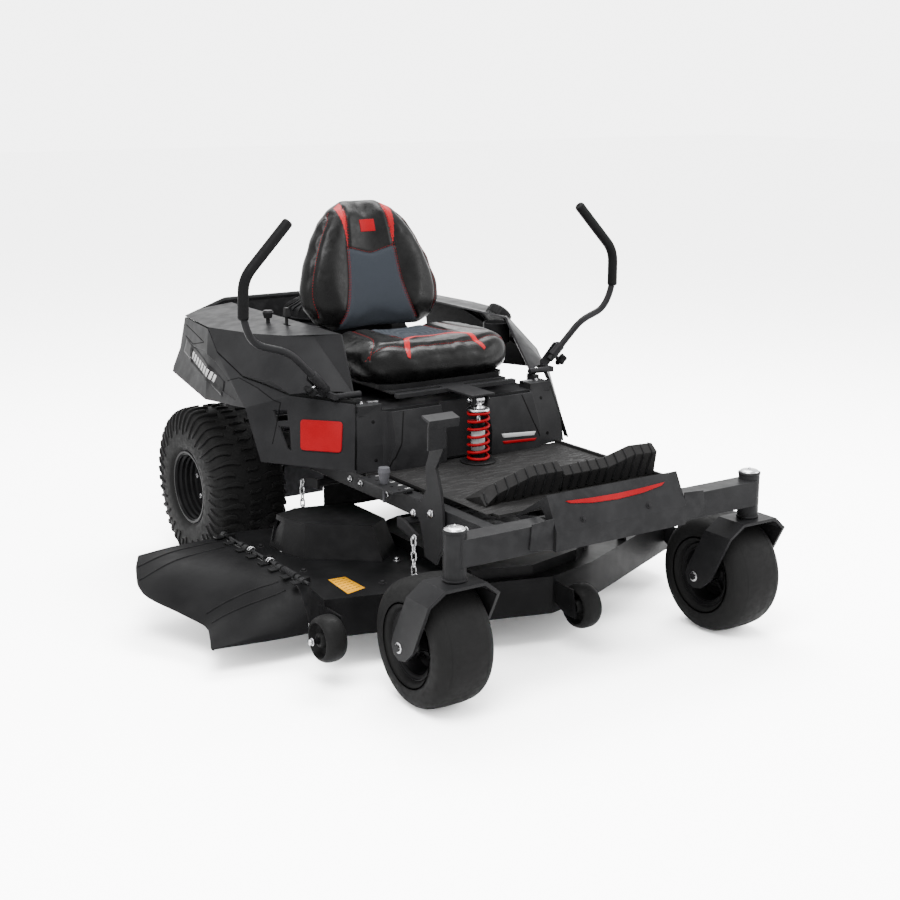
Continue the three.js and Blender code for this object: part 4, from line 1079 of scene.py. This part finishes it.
def star_knob(side, s):
    """Star knob below the lever bracket, with its stud, the lever's clamp and two bolts."""
    place = at(s * 424, 786, 676)
    axis = Vector((s * 0.72, 0.0, -0.69)).normalized()
    u, v = REARWARD, axis.cross(REARWARD)
    rings = []
    for height, size in ((0.012, 0.55), (0.015, 0.95), (0.024, 1.0), (0.028, 0.85), (0.029, 0.35)):
        ring = []
        for i in range(50):
            a = 2 * math.pi * i / 50
            r = 0.0185 * size * (1 + 0.16 * math.cos(5 * a))
            ring.append(place + axis * height + (u * math.cos(a) + v * math.sin(a)) * r)
        rings.append(ring)
    knob = Shape().rings(rings)
    knob.make_soft(f"lever_knob_{side}", "grip_rubber", f"lever_mount_{side}", 0.0006)
    clamp_low, clamp_high = at(s * 404, 785, 678), at(s * 440, 782, 714)
    along = (clamp_high - clamp_low).normalized()
    clamp = Shape().tube([clamp_low, clamp_low + along * 0.042], 0.0142, 24)
    clamp.make_soft(f"lever_clamp_{side}", "frame_paint", f"lever_{side}", 0.0008)
    bolts = Shape()
    bolts.tube([place - axis * 0.004, place + axis * 0.014], 0.0035, 14)
    for x, z in ((414, 690), (432, 708)):
        bolt(bolts, at(s * x, 796.9, z), FORWARD, 0.010, 0.005, 0.014)
    bolts.make(f"lever_bracket_bolts_{side}", "bright_metal", f"lever_mount_{side}")


# ------------------------------------------------------------------ seat suspension
def suspension():
    """Coil spring around a damper with its seats, eye and pin."""
    low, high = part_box("coil_spring")
    middle = (low + high) / 2
    middle.z = 0
    coil = helix(middle, 0.0288, low.z + 0.0045, high.z - 0.0045, 7.4, 40)
    spring = Shape().tube(coil, 0.0043, 14)
    piece = spring.make("suspension_spring", "accent_red", None, replaces=("coil_spring",))
    soften(piece, 0)
    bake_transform(piece)
    body = Shape()
    base = at(0, 600, 438.4)
    body.lathe(base, UP, [(0, 0.0005), (0, 0.051), (0.003, 0.0518), (0.0056, 0.049), (0.0064, 0.040),
                          (0.0072, 0.030), (0.0074, 0.0205), (0.02, 0.0195), (0.112, 0.0195), (0.116, 0.0185),
                          (0.1172, 0.012), (0.1172, 0.0068), (0.062, 0.0068), (0.062, 0.0005)], 56)
    body.make_soft("damper_cylinder", "rim_paint", "chassis", 0, replaces=("damper_body",))
    label = Shape()
    label.lathe(base, UP, [(0.035, 0.01935), (0.035, 0.0198), (0.095, 0.0198), (0.095, 0.01935)], 56,
                closed=True)
    label.make("damper_label", "label_white", "chassis")
    top = Shape()
    seat = at(0, 600, 588.4)
    top.lathe(seat, UP, [(0, 0.0065), (0, 0.031), (0.0012, 0.0322), (0.0060, 0.0322), (0.0074, 0.030),
                         (0.0074, 0.020), (0.0095, 0.0175), (0.0145, 0.0165), (0.0165, 0.012), (0.020, 0.0105),
                         (0.0245, 0.0105), (0.0245, 0.0006)], 56)
    top.lathe(seat, UP, [(-0.056, 0.0005), (-0.056, 0.0055), (0.004, 0.0055), (0.004, 0.0005)], 28)
    top.make_soft("damper_top", "bright_metal", "seat_carriage", 0, replaces=("damper_rod",))
    eye = Shape()
    eye.lathe(at(-14, 600, 620), LEFTWARD, [(0, 0.0075), (0, 0.0128), (0.001, 0.0135), (0.027, 0.0135),
                                             (0.028, 0.0128), (0.028, 0.0075)], 32, closed=True)
    eye.make_soft("damper_eye", "bright_metal", "seat_carriage", 0)
    pins = Shape()
    for s in (-1, 1):
        bolt(pins, at(s * 27, 600, 620), (s, 0, 0), 0.015, 0.007, 0.019)
    pins.make_soft("damper_pin_nuts", "bright_metal", "seat_carriage", 0.0004)


# ------------------------------------------------------------------ floor, nose and toe rests
def floor_mat():
    """Raised, wandering ridges over the whole foot area."""
    x_low, x_high, y_low, y_high = -284, 322, 150, 634
    nx, ny = 200, 170
    vertices, faces = [], []
    for j in range(ny + 1):
        for i in range(nx + 1):
            x = x_low + (x_high - x_low) * i / nx
            y = y_low + (y_high - y_low) * j / ny
            warp = (noise.noise(Vector((x * 0.010, y * 0.016, 1.7))) * 26
                    + noise.noise(Vector((x * 0.035, y * 0.04, 5))) * 8)
            ridge = math.sin((y + warp) * 0.30) * 0.5 + 0.5
            broken = noise.noise(Vector((x * 0.018, y * 0.05, 9.3)))
            height = 0.4 + 2.3 * (ridge ** 2) * (1 if broken > -0.12 else 0.25)
            edge = min(i, nx - i, j, ny - j)
            if edge < 3:
                height = 1.2 if edge else -0.5
            if math.hypot(x, y - 600) < 60:
                height = 0.3
            vertices.append(at(x, y, FLOOR_PAN_TOP + height))
    for j in range(ny):
        for i in range(nx):
            a = j * (nx + 1) + i
            faces.append((a, a + 1, a + nx + 2, a + nx + 1))
    new_piece("foot_mat", vertices, faces, "floor_mat", "chassis")


def tread_plates():
    """Zigzag ribs on the sloping faces of the toe rests, under their stepped top edges."""
    ribs = Shape()
    left_edge = [(4, 508), (157, 510), (243, 531), (325, 528)]
    right_edge = [(-252, 462), (-215, 490), (-102, 522), (-4, 522)]
    for (xa, za), (xb, zb) in [*zip(left_edge, left_edge[1:]), *zip(right_edge, right_edge[1:])]:
        count = max(1, round((xb - xa) / 34))
        for i in range(count):
            k0, k1 = (i + 0.18) / count, (i + 0.82) / count
            for row in range(4):
                ta, tb = (0.12 + row * 0.22), (0.26 + row * 0.22)
                path = []
                for k, t in ((k0, ta), ((k0 + k1) / 2, tb), (k1, ta)):
                    x = xa + (xb - xa) * k
                    top = za + (zb - za) * k
                    y = 238 + (298 - 238) * t
                    z = (top - 6) + (FLOOR_PAN_TOP - (top - 6)) * (y - 236) / 64
                    path.append(at(x, y, z + 0.3))
                ribs.tube(path, 0.0021, 6)
    ribs.make("toe_rest_ribs", "floor_mat", "chassis")


def emblem():
    """A plain swept bar and two bolts on the sloping nose plate."""
    def on_plate(x, k):
        return at(x, -46 + 43 * k, 429 + 84 * k)

    outward = Vector((0, -84, 43)).normalized()
    outline = [(-162, 0.76), (-150, 0.68), (-84, 0.58), (0, 0.54), (84, 0.58), (150, 0.68), (162, 0.76),
               (84, 0.72), (0, 0.70), (-84, 0.72)]
    shape = Shape()
    low = [on_plate(x, k) + outward * 0.0004 for x, k in outline]
    high = [on_plate(x * 0.988, 0.66 + (k - 0.66) * 0.92) + outward * 0.0028 for x, k in outline]
    shape.rings([low, high])
    shape.make_soft("nose_emblem", "accent_red", "chassis", 0.0005)
    bolts = Shape()
    for x in (-123, 90):
        bolt(bolts, on_plate(x, 0.21) + outward * 0.0004, outward, 0.010, 0.004, 0.016)
    bolts.make_soft("nose_bolts", "frame_paint", "chassis", 0.0004)


# ------------------------------------------------------------------ deck
CHUTE_ROWS = [
    [(-609, 1040, 200), (-690, 1040, 200), (-780, 1040, 198), (-868, 1036, 192)],
    [(-609, 985, 201), (-700, 985, 200), (-800, 982, 194), (-899, 976, 170)],
    [(-609, 860, 202), (-710, 862, 200), (-815, 866, 184), (-922, 872, 140)],
    [(-609, 750, 203), (-690, 750, 197), (-775, 748, 170), (-868, 742, 112)],
    [(-609, 660, 203), (-690, 658, 186), (-770, 655, 146), (-838, 655, 97)],
    [(-609, 575, 196), (-690, 575, 154), (-780, 580, 118), (-856, 585, 88)],
    [(-609, 515, 130), (-680, 520, 104), (-780, 530, 92), (-870, 548, 77)],
    [(-609, 500, 76), (-680, 506, 75), (-780, 520, 75), (-868, 540, 75)],
]


def discharge_chute():
    """The moulded chute: a curved, walled sheet with raised ribs and rolled edges."""
    across = [spline([at(x - 1, y, z) for x, y, z in row], 8) for row in CHUTE_ROWS]
    columns = [spline([row[i] for row in across], 6) for i in range(len(across[0]))]
    rows = len(columns[0])
    low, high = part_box("discharge_chute")
    vertices, faces = [], []
    for j in range(rows):
        for i, column in enumerate(columns):
            p = column[j].copy()
            p.x = min(max(p.x, low.x + 0.0005), high.x - 0.001)
            p.z = min(p.z, high.z - 0.0002)
            vertices.append(p)
    width = len(columns)
    for j in range(rows - 1):
        for i in range(width - 1):
            a = j * width + i
            faces.append((a, a + 1, a + 1 + width, a + width))
    skin = new_piece("discharge_chute_shell", vertices, faces, "chute_plastic", "chute",
                     replaces=("discharge_chute",))
    solid = skin.modifiers.new("wall", "SOLIDIFY")
    solid.thickness = 0.0038
    solid.offset = -1
    soften(skin, 0.0008)
    surface = [[vertices[j * width + i] for i in range(width)] for j in range(rows)]
    ribs = Shape()
    for a, b in (((4, 0.02), (5, 0.98)), ((8, 0.02), (9, 0.98)), ((27, 0.12), (22, 0.90)),
                 ((30, 0.12), (25, 0.93))):
        path = []
        for s in range(25):
            k = s / 24
            j = a[0] + (b[0] - a[0]) * k
            i = (a[1] + (b[1] - a[1]) * k) * (width - 1)
            j0, i0 = min(int(j), rows - 2), min(int(i), width - 2)
            fj, fi = j - j0, i - i0
            p = (surface[j0][i0] * (1 - fj) * (1 - fi) + surface[j0 + 1][i0] * fj * (1 - fi)
                 + surface[j0][i0 + 1] * (1 - fj) * fi + surface[j0 + 1][i0 + 1] * fj * fi)
            path.append(p)
        ribs.tube(path, 0.0024, 8)
    for edge in (surface[0], [row[-1] for row in surface]):
        ribs.tube([p + Vector((0.0025, 0, -0.002)) for p in edge], 0.0030, 8)
    ribs.make("discharge_chute_ribs", "chute_plastic", "chute")


def on_hinge(y):
    """A point on the chute's hinge line."""
    return at(HINGE_X, y, HINGE_Z)


def hinge_rod():
    """The chute's hinge: a rod in knuckles along the deck edge, with its spring, bright clips and straps."""
    rod = Shape().tube([on_hinge(508), on_hinge(1046)], 0.0042, 14)
    for y in (530, 556, 660, 690, 870, 900, 1020):
        rod.lathe(on_hinge(y), REARWARD, [(0, 0.0045), (0, 0.0085), (0.018, 0.0085), (0.018, 0.0045)], 20,
                  closed=True)
    rod.make_soft("chute_hinge_rod", "frame_paint", "deck", 0.0005)
    coil = [on_hinge(580 + 70 * i / 360) + Vector((0.0085 * math.cos(i * 0.35), 0, 0.0085 * math.sin(i * 0.35)))
            for i in range(361)]
    Shape().tube(coil, 0.0016, 6).make_soft("chute_return_spring", "frame_paint", "deck", 0)
    clips = Shape()
    for y in (722, 840):
        ring = [on_hinge(y) + Vector((0.0100 * math.cos(0.35 * i), 0.0006 * i, 0.0100 * math.sin(0.35 * i)))
                for i in range(30)]
        clips.tube(ring, 0.0014, 8)
    clips.make("chute_hinge_clips", "bright_metal", "chute")
    knuckles = Shape()
    for y in (548, 606, 680, 740, 815, 885, 960, 1028):
        knuckles.box(at(-634, y - 13, 203.4), at(-606, y + 13, 208.4))
        knuckles.lathe(at(-608.5, y - 13, 208), REARWARD,
                       [(0, 0.001), (0, 0.0055), (0.026, 0.0055), (0.026, 0.001)], 14, closed=True)
    knuckles.make_soft("chute_hinge_straps", "chute_plastic", "chute", 0.0012)


def chain_link(shape, middle, along, across):
    """One oval wire link."""
    length, width, wire = 0.026, 0.0125, 0.0022
    straight = (length - width) / 2
    loop = []
    for i in range(20):
        a = 2 * math.pi * i / 20
        offset = straight if math.cos(a) > 0 else -straight
        loop.append(middle + along * (offset + (width / 2) * math.cos(a)) + across * (width / 2) * math.sin(a))
    shape.tube(loop, wire, 7, closed=True)


def lift_chains():
    """Four straight chains from the deck up to the lift arms, with a bolt at each end."""
    for end_name, y, high in (("front", 375, 330), ("rear", 1000, 342)):
        for side, s in SIDES:
            start, end = at(s * 360, y, 228), at(s * 360, y, high)
            along = (end - start).normalized()
            count = max(3, round((end - start).length / 0.0195))
            shape = Shape()
            for i in range(count):
                turn = 0.6 if i % 2 else 0.6 + math.pi / 2
                across = Vector((math.cos(turn), math.sin(turn), 0))
                chain_link(shape, start.lerp(end, (i + 0.5) / count), along, across)
            bolt(shape, at(s * 356, y - 4, 226), (s, 0, 0), 0.012, 0.006, 0.018)
            shape.make(f"lift_chain_{end_name}_{side}", "bright_metal", "deck")
            link = Shape()
            bolt(link, at(s * 356.2, y, high), (s, 0, 0), 0.012, 0.007, 0.018)
            link.make(f"lift_arm_bolt_{end_name}_{side}", "bright_metal", f"lift_{end_name}")


def deck_details():
    """Yellow label with plain dark marks, and the deck's and belt covers' bolts."""
    low = [at(x, y, DECK_TOP + 0.2) for x, y in ((-538, 522), (-549, 396), (-488, 412), (-489, 518))]
    high = [p + UP * 0.0006 for p in low]
    Shape().rings([low, high]).make("deck_label", "label_yellow", "deck")
    marks = Shape()
    for i in range(6):
        k = 0.1 + 0.145 * i
        start, end = low[0].lerp(low[1], k), low[3].lerp(low[2], k)
        for j in range(3):
            marks.tube([start.lerp(end, m + 0.27 * j) + UP * 0.0008 for m in (0.14, 0.34)], 0.0007, 5)
    marks.make("deck_label_marks", "dark_void", "deck")
    bolts = Shape()
    for x, y in ((-560, 620), (-560, 880), (-470, 960), (-300, 560), (300, 560), (470, 960), (560, 880),
                 (560, 600), (-190, 330), (190, 350), (-430, 420), (430, 440)):
        bolt(bolts, at(x, y, DECK_TOP), UP, 0.013, 0.006, 0.02)
    bolts.make_soft("deck_bolts", "frame_paint", "deck", 0.0004)
    for side, s in SIDES[::-1]:
        cover = Shape()
        for x, y in ((524, 806), (300, 560)):
            bolt(cover, at(s * x, y, DECK_TOP + 1), UP, 0.013, 0.007, 0.022)
        cover.make(f"belt_cover_screws_{side}", "bright_metal", "deck")


def small_hardware():
    """Pedal bolts, the bright latches before the seat and the frame rails' bolts."""
    pedal = Shape()
    for y, z in ((397, 391), (313, 410)):
        bolt(pedal, at(-345.6, y, z), (-1, 0, 0), 0.015, 0.006, 0.021)
    pedal.make("pedal_bolts", "bright_metal", "pedal")
    latches = Shape()
    for s in (-1, 1):
        latches.box(at(s * 270 - 17, 729, 620.2), at(s * 270 + 17, 742, 623.5))
        bolt(latches, at(s * 306, 735, 620), UP, 0.010, 0.004, 0.014)
    latches.make_soft("seat_deck_latches", "bright_metal", "chassis", 0.0008)
    frame_bolts = Shape()
    for s in (-1, 1):
        for y in (60, 170, 560, 700, 760, 960):
            bolt(frame_bolts, at(s * 330.2, y, 400), (s, 0, 0), 0.013, 0.006, 0.019)
    frame_bolts.make("rail_bolts", "bright_metal", "chassis")


def height_scale():
    """White height numbers beside the stop holes, on the right rail's plate."""
    for i, y in enumerate((470, 509, 548, 587, 626)):
        curve = bpy.data.curves.new(f"height_number_{i}", "FONT")
        curve.body = str(5 - i)
        curve.size = 0.020
        curve.extrude = 0.0003
        curve.align_x = curve.align_y = "CENTER"
        temp = bpy.data.objects.new("temp_number", curve)
        bpy.context.scene.collection.objects.link(temp)
        mesh = bpy.data.meshes.new_from_object(temp.evaluated_get(bpy.context.evaluated_depsgraph_get()))
        bpy.data.objects.remove(temp)
        turn = Matrix.Translation(at(-320, y, 437.5)) @ Matrix.Rotation(-math.pi / 2, 4, "Z")
        mesh.transform(turn)
        mesh.materials.clear()
        finish_piece(f"height_number_{i}", mesh, "label_white", "chassis", smooth=False)


def fender_badge():
    """Plain red plate with rounded corners on the right fender, with no lettering."""
    corners = [at(-442, 839, 572), at(-369, 727, 577), at(-387, 705, 495), at(-459, 811, 491)]
    normal = (corners[1] - corners[0]).cross(corners[3] - corners[0]).normalized()
    if normal.x > 0:
        normal = -normal
    rounded_outline = []
    for i, c in enumerate(corners):
        before, after = corners[i - 1], corners[(i + 1) % 4]
        a = c + (before - c).normalized() * BADGE_CORNER
        b = c + (after - c).normalized() * BADGE_CORNER
        for s in range(7):
            t = s / 6
            rounded_outline.append(a * (1 - t) ** 2 + c * 2 * t * (1 - t) + b * t * t)
    middle = sum(corners, Vector()) / 4
    rings = [[p + normal * 0.001 for p in rounded_outline], [p + normal * 0.004 for p in rounded_outline],
             [middle + (p - middle) * 0.965 + normal * 0.0052 for p in rounded_outline]]
    plate = Shape().rings(rings)
    plate.make_soft("fender_badge", "accent_red", "chassis", 0.0005)


def engine_top():
    """Curved fins, a middle disc and a rim ring on the engine's screen."""
    centre = at(-40, 1450, 790)
    fins = Shape()
    for i in range(28):
        a = 2 * math.pi * i / 28
        turn = Matrix.Rotation(a, 3, "Z")
        path = [centre + turn @ Vector((r, 0.004 * math.sin(r * 90), z))
                for r, z in ((0.118, -0.008), (0.111, 0.003), (0.09, 0.0145), (0.066, 0.0255))]
        fins.tube(path, 0.0028, 6)
    fins.lathe(centre + UP * 0.0235, UP, [(-0.002, 0.06), (0.001, 0.066), (0.004, 0.06), (0.0055, 0.04),
                                          (0.006, 0.0005)], 48)
    fins.lathe(centre, UP, [(-0.034, 0.113), (-0.034, 0.119), (-0.028, 0.119), (-0.028, 0.113)], 64,
               closed=True)
    fins.make_soft("engine_screen_fins", "chute_plastic", "chassis", 0)


def filler_cap():
    """Ribbed filler cap, tilted outwards on the left shell."""
    axis = Vector((math.sin(0.7), 0, math.cos(0.7)))
    u = axis.orthogonal().normalized()
    v = axis.cross(u)
    base = at(387, 1060, 761)
    rings = []
    for height, size, ridge in ((0.0, 0.96, 0), (0.002, 0.985, 1), (0.024, 0.985, 1), (0.028, 0.95, 1),
                                (0.032, 0.84, 0), (0.0345, 0.70, 0), (0.036, 0.2, 0)):
        ring = []
        for i in range(120):
            a = 2 * math.pi * i / 120
            r = 0.042 * (size - (0.02 if ridge and (i // 3) % 2 else 0))
            ring.append(base + axis * height + (u * math.cos(a) + v * math.sin(a)) * r)
        rings.append(ring)
    cap = Shape().rings(rings)
    cap.make_soft("filler_cap_ribbed", "chute_plastic", "filler_cap", 0, replaces=("fuel_cap",))


# ------------------------------------------------------------------ details laid on the panels
def surface_of(*names):
    """A search tree over carried-over CAD nodes, in scene coordinates at rest."""
    vertices, faces = [], []
    for name in names:
        node = NODES[name]
        base = len(vertices)
        vertices += [node.matrix_world @ v.co for v in node.data.vertices]
        faces += [tuple(i + base for i in p.vertices) for p in node.data.polygons]
    return BVHTree.FromPolygons(vertices, faces)


def flank_line(s, pairs):
    """Points beside a flank, from (y, z) pairs in millimetres."""
    return [at(s * 560, y, z) for y, z in pairs]


def ahead_line(pairs):
    """Points ahead of the seat tower, from (x, z) pairs in millimetres."""
    return [at(x, 640, z) for x, z in pairs]


def behind_line(pairs):
    """Points behind the machine, from (x, z) pairs in millimetres."""
    return [at(x, 1800, z) for x, z in pairs]


def drape(tree, points, direction):
    """Drops points onto a surface; keeps each place and its outward normal."""
    landed = []
    for p in points:
        hit, normal, _, _ = tree.ray_cast(p - direction * 0.25, direction, 0.6)
        if hit is not None:
            landed.append((hit, -normal if normal.dot(direction) > 0 else normal))
    return landed


def crease_shade_line(name, tree, points, direction, radius=0.0015):
    """A dark line, partly sunk into the surface, painted as the shade along a crease."""
    landed = drape(tree, resample(points, 0.006), direction)
    # Painted shade: the line's near-black colour stands in for the shade in the crease.
    path = [hit - normal * radius * 0.3 for hit, normal in landed]
    Shape().tube(path, radius, 8).make(name, "dark_void", "chassis")


def plate_on(shape, tree, edge_a, edge_b, direction, rise, along, across):
    """A thin plate pressed onto a surface between two edge lines."""
    first, second = even(edge_a, along), even(edge_b, along)
    rings = []
    for a, b in zip(first, second):
        landed = drape(tree, [a.lerp(b, k / across) for k in range(across + 1)], direction)
        if len(landed) == across + 1:
            rings.append([h + n * rise for h, n in landed] + [h - n * 0.0012 for h, n in reversed(landed)])
    if len(rings) > 1:
        shape.rings(rings)


def even(points, count):
    """The same polyline as evenly spaced points."""
    lengths = [0.0]
    for a, b in zip(points, points[1:]):
        lengths.append(lengths[-1] + (b - a).length)
    out = []
    for i in range(count + 1):
        want = lengths[-1] * i / count
        j = max(k for k in range(len(lengths) - 1) if lengths[k] <= want + 1e-12)
        t = (want - lengths[j]) / max(lengths[j + 1] - lengths[j], 1e-9)
        out.append(points[j].lerp(points[j + 1], min(max(t, 0), 1)))
    return out


def side_graphics():
    """Dark swept stripe with pale slanted bars on both flanks, dark lines painted as shade along the panel
    creases, and dark strips painted as shade in the shell seam and the gap between fender and tower.
    """
    for side, s in SIDES:
        tree = surface_of(f"side_fender_{side}", f"upper_shell_{side}")
        inward = Vector((-s, 0, 0))
        stripe = Shape()
        plate_on(stripe, tree, flank_line(s, [(1540, 706), (1350, 676), (1165, 634)]),
                 flank_line(s, [(1552, 664), (1352, 634), (1150, 594)]), inward, 0.001, 36, 8)
        stripe.make(f"side_stripe_{side}", "rim_paint", "chassis")
        bars = Shape()
        for i in range(9):
            y = 1462 - 27 * i
            z = 679 - 4.4 * i
            plate_on(bars, tree, flank_line(s, [(y, z), (y - 17, z - 2.5)]),
                     flank_line(s, [(y + 8, z - 22), (y - 9, z - 25)]), inward, 0.0018, 3, 3)
        bars.make(f"side_stripe_bars_{side}", "label_white", "chassis")
        # Painted shade: dark lines along the panel creases.
        for level, pairs in (("upper", [(1570, 746), (1362, 722), (1470, 700), (1556, 712)]),
                             ("lower", [(1150, 640), (1098, 656), (1000, 640), (905, 612), (890, 500)])):
            crease_shade_line(f"shell_crease_shade_{level}_{side}", tree, flank_line(s, pairs), inward)
        seam = [(343, 715, 626), (450, 889, 632), (480, 994, 650), (500, 1086, 658), (500, 1259, 705),
                (480, 1440, 755)]
        # Painted shade: dark strips in the shell seam and across the gap between fender and tower.
        seal = Shape().tube([at(s * (x - 9), y, z + 3) for x, y, z in seam], 0.0055, 8)
        seal.tube([at(s * 336, 720, 622), at(s * 370, 665, 452)], 0.0055, 8)
        seal.make(f"shell_seam_shade_{side}", "dark_void", "chassis")


def rear_details():
    """Louvre slots painted as dark plates for the shade inside them, reflectors and bolts on the rear guard,
    and a cross guard under the frame.
    """
    tree = surface_of("engine_guard")
    # Painted shade: dark plates where the louvre slots are, standing in for the shade inside them.
    slots = Shape()
    for row in range(4):
        z = 756 - 22 * row
        width = 250 - 14 * row
        for s in (-1, 1):
            plate_on(slots, tree, behind_line([(s * 26, z), (s * width, z)]),
                     behind_line([(s * 26, z - 9), (s * (width - 5), z - 9)]), FORWARD, 0.0009, 16, 2)
    slots.make("guard_louvre_shade", "dark_void", "chassis")
    lenses = Shape()
    for s in (-1, 1):
        plate_on(lenses, tree, behind_line([(s * 312, 730), (s * 368, 744)]),
                 behind_line([(s * 312, 712), (s * 364, 726)]), FORWARD, 0.003, 6, 3)
    lenses.make_soft("rear_reflectors", "accent_red", "chassis", 0.0006)
    bolts = Shape()
    for z in (650, 480, 560):
        for hit, normal in drape(tree, behind_line([(-268, z), (268, z)]), FORWARD):
            bolt(bolts, hit, normal, 0.013, 0.006, 0.02)
    bolts.make("guard_bolts", "bright_metal", "chassis")
    guard = Shape()
    guard.box(at(-262, 1046, 236), at(262, 1050, 374))
    guard.box(at(-262, 1032, 232), at(262, 1050, 236))
    guard.make_soft("cross_guard", "frame_paint", "chassis", 0.0015)


def nose_wings():
    """The nose plate's short outer wings, lying against the beam."""
    for side, s in SIDES:
        outline = [(286, 394), (279, 458), (213, 462), (213, 380)]
        rings = [[at(s * x, y, z) for x, z in outline] for y in (-33.0, -37.0)]
        wing = Shape().rings(rings)
        wing.make_soft(f"nose_wing_{side}", "frame_paint", "chassis", 0.0012)


def toe_rest_front_ribs():
    """Slanted ribs on the toe rests' front faces."""
    tree = surface_of("toe_rest_left", "toe_rest_right")
    ribs = Shape()
    for i in range(20):
        x = -246 + 30 * i
        line = resample([at(x, 120, 446), at(x + 20, 120, 540)], 0.004)
        landed = [(hit, normal) for hit, normal in drape(tree, line, REARWARD) if normal.y < -0.5]
        if len(landed) > 3:
            ribs.tube([hit + normal * 0.0008 for hit, normal in landed], 0.0026, 6)
    ribs.make("toe_rest_front_ribs", "chute_plastic", "chassis")


def chute_end_flap():
    """Rubber flap that closes the deck's side in front of the chute."""
    flap = Shape()
    flap.box(at(-607, 492, 104), at(-602, 600, 203))
    flap.make_soft("deck_side_flap", "chute_plastic", "deck", 0.001)


def tower_graphics():
    """Two plain stripes on the seat tower's front, with dark lines painted as shade along the panel creases and
    dark discs painted as the shade inside the holes.
    """
    tree = surface_of("seat_tower")
    for name, material, upper, lower in (
            ("pale", "label_white", [(112, 497), (236, 489)], [(118, 483), (230, 477)]),
            ("red", "accent_red", [(116, 474), (240, 468)], [(120, 465), (234, 460)])):
        stripe = Shape()
        plate_on(stripe, tree, ahead_line(upper), ahead_line(lower), REARWARD, 0.0012, 16, 3)
        stripe.make(f"tower_stripe_{name}", material, "chassis")
    holes = Shape()
    for side, s in SIDES[::-1]:
        # Painted shade: a dark line along each crease.
        crease = ahead_line([(s * 206, 598), (s * 230, 516), (s * 256, 468), (s * 262, 446)])
        crease_shade_line(f"tower_crease_shade_{side}", tree, crease, REARWARD, radius=0.002)
        # Painted shade: dark discs where the holes are, for the shade inside them.
        for hit, normal in drape(tree, ahead_line([(s * 293, 574), (s * 300, 470)]), REARWARD):
            holes.lathe(hit, normal, [(-0.001, 0.0005), (-0.001, 0.005), (0.0006, 0.005), (0.0002, 0.0005)], 20)
    holes.make("tower_hole_shade", "dark_void", "chassis")


dress_cad_nodes()
side_graphics()
tower_graphics()
rear_details()
nose_wings()
toe_rest_front_ribs()
chute_end_flap()
for wheel_side, wheel_sign in SIDES:
    front_tyre(wheel_side)
    rear_tyre(wheel_side)
    front_rim(wheel_side)
    rear_rim(wheel_side, wheel_sign)
for wheel_name in ("centre", "right", "left"):
    gauge_wheel(wheel_name)
axle_hardware()
make_backrest()
make_cushion()
control_levers()
suspension()
floor_mat()
tread_plates()
emblem()
discharge_chute()
hinge_rod()
lift_chains()
deck_details()
small_hardware()
height_scale()
fender_badge()
engine_top()
filler_cap()
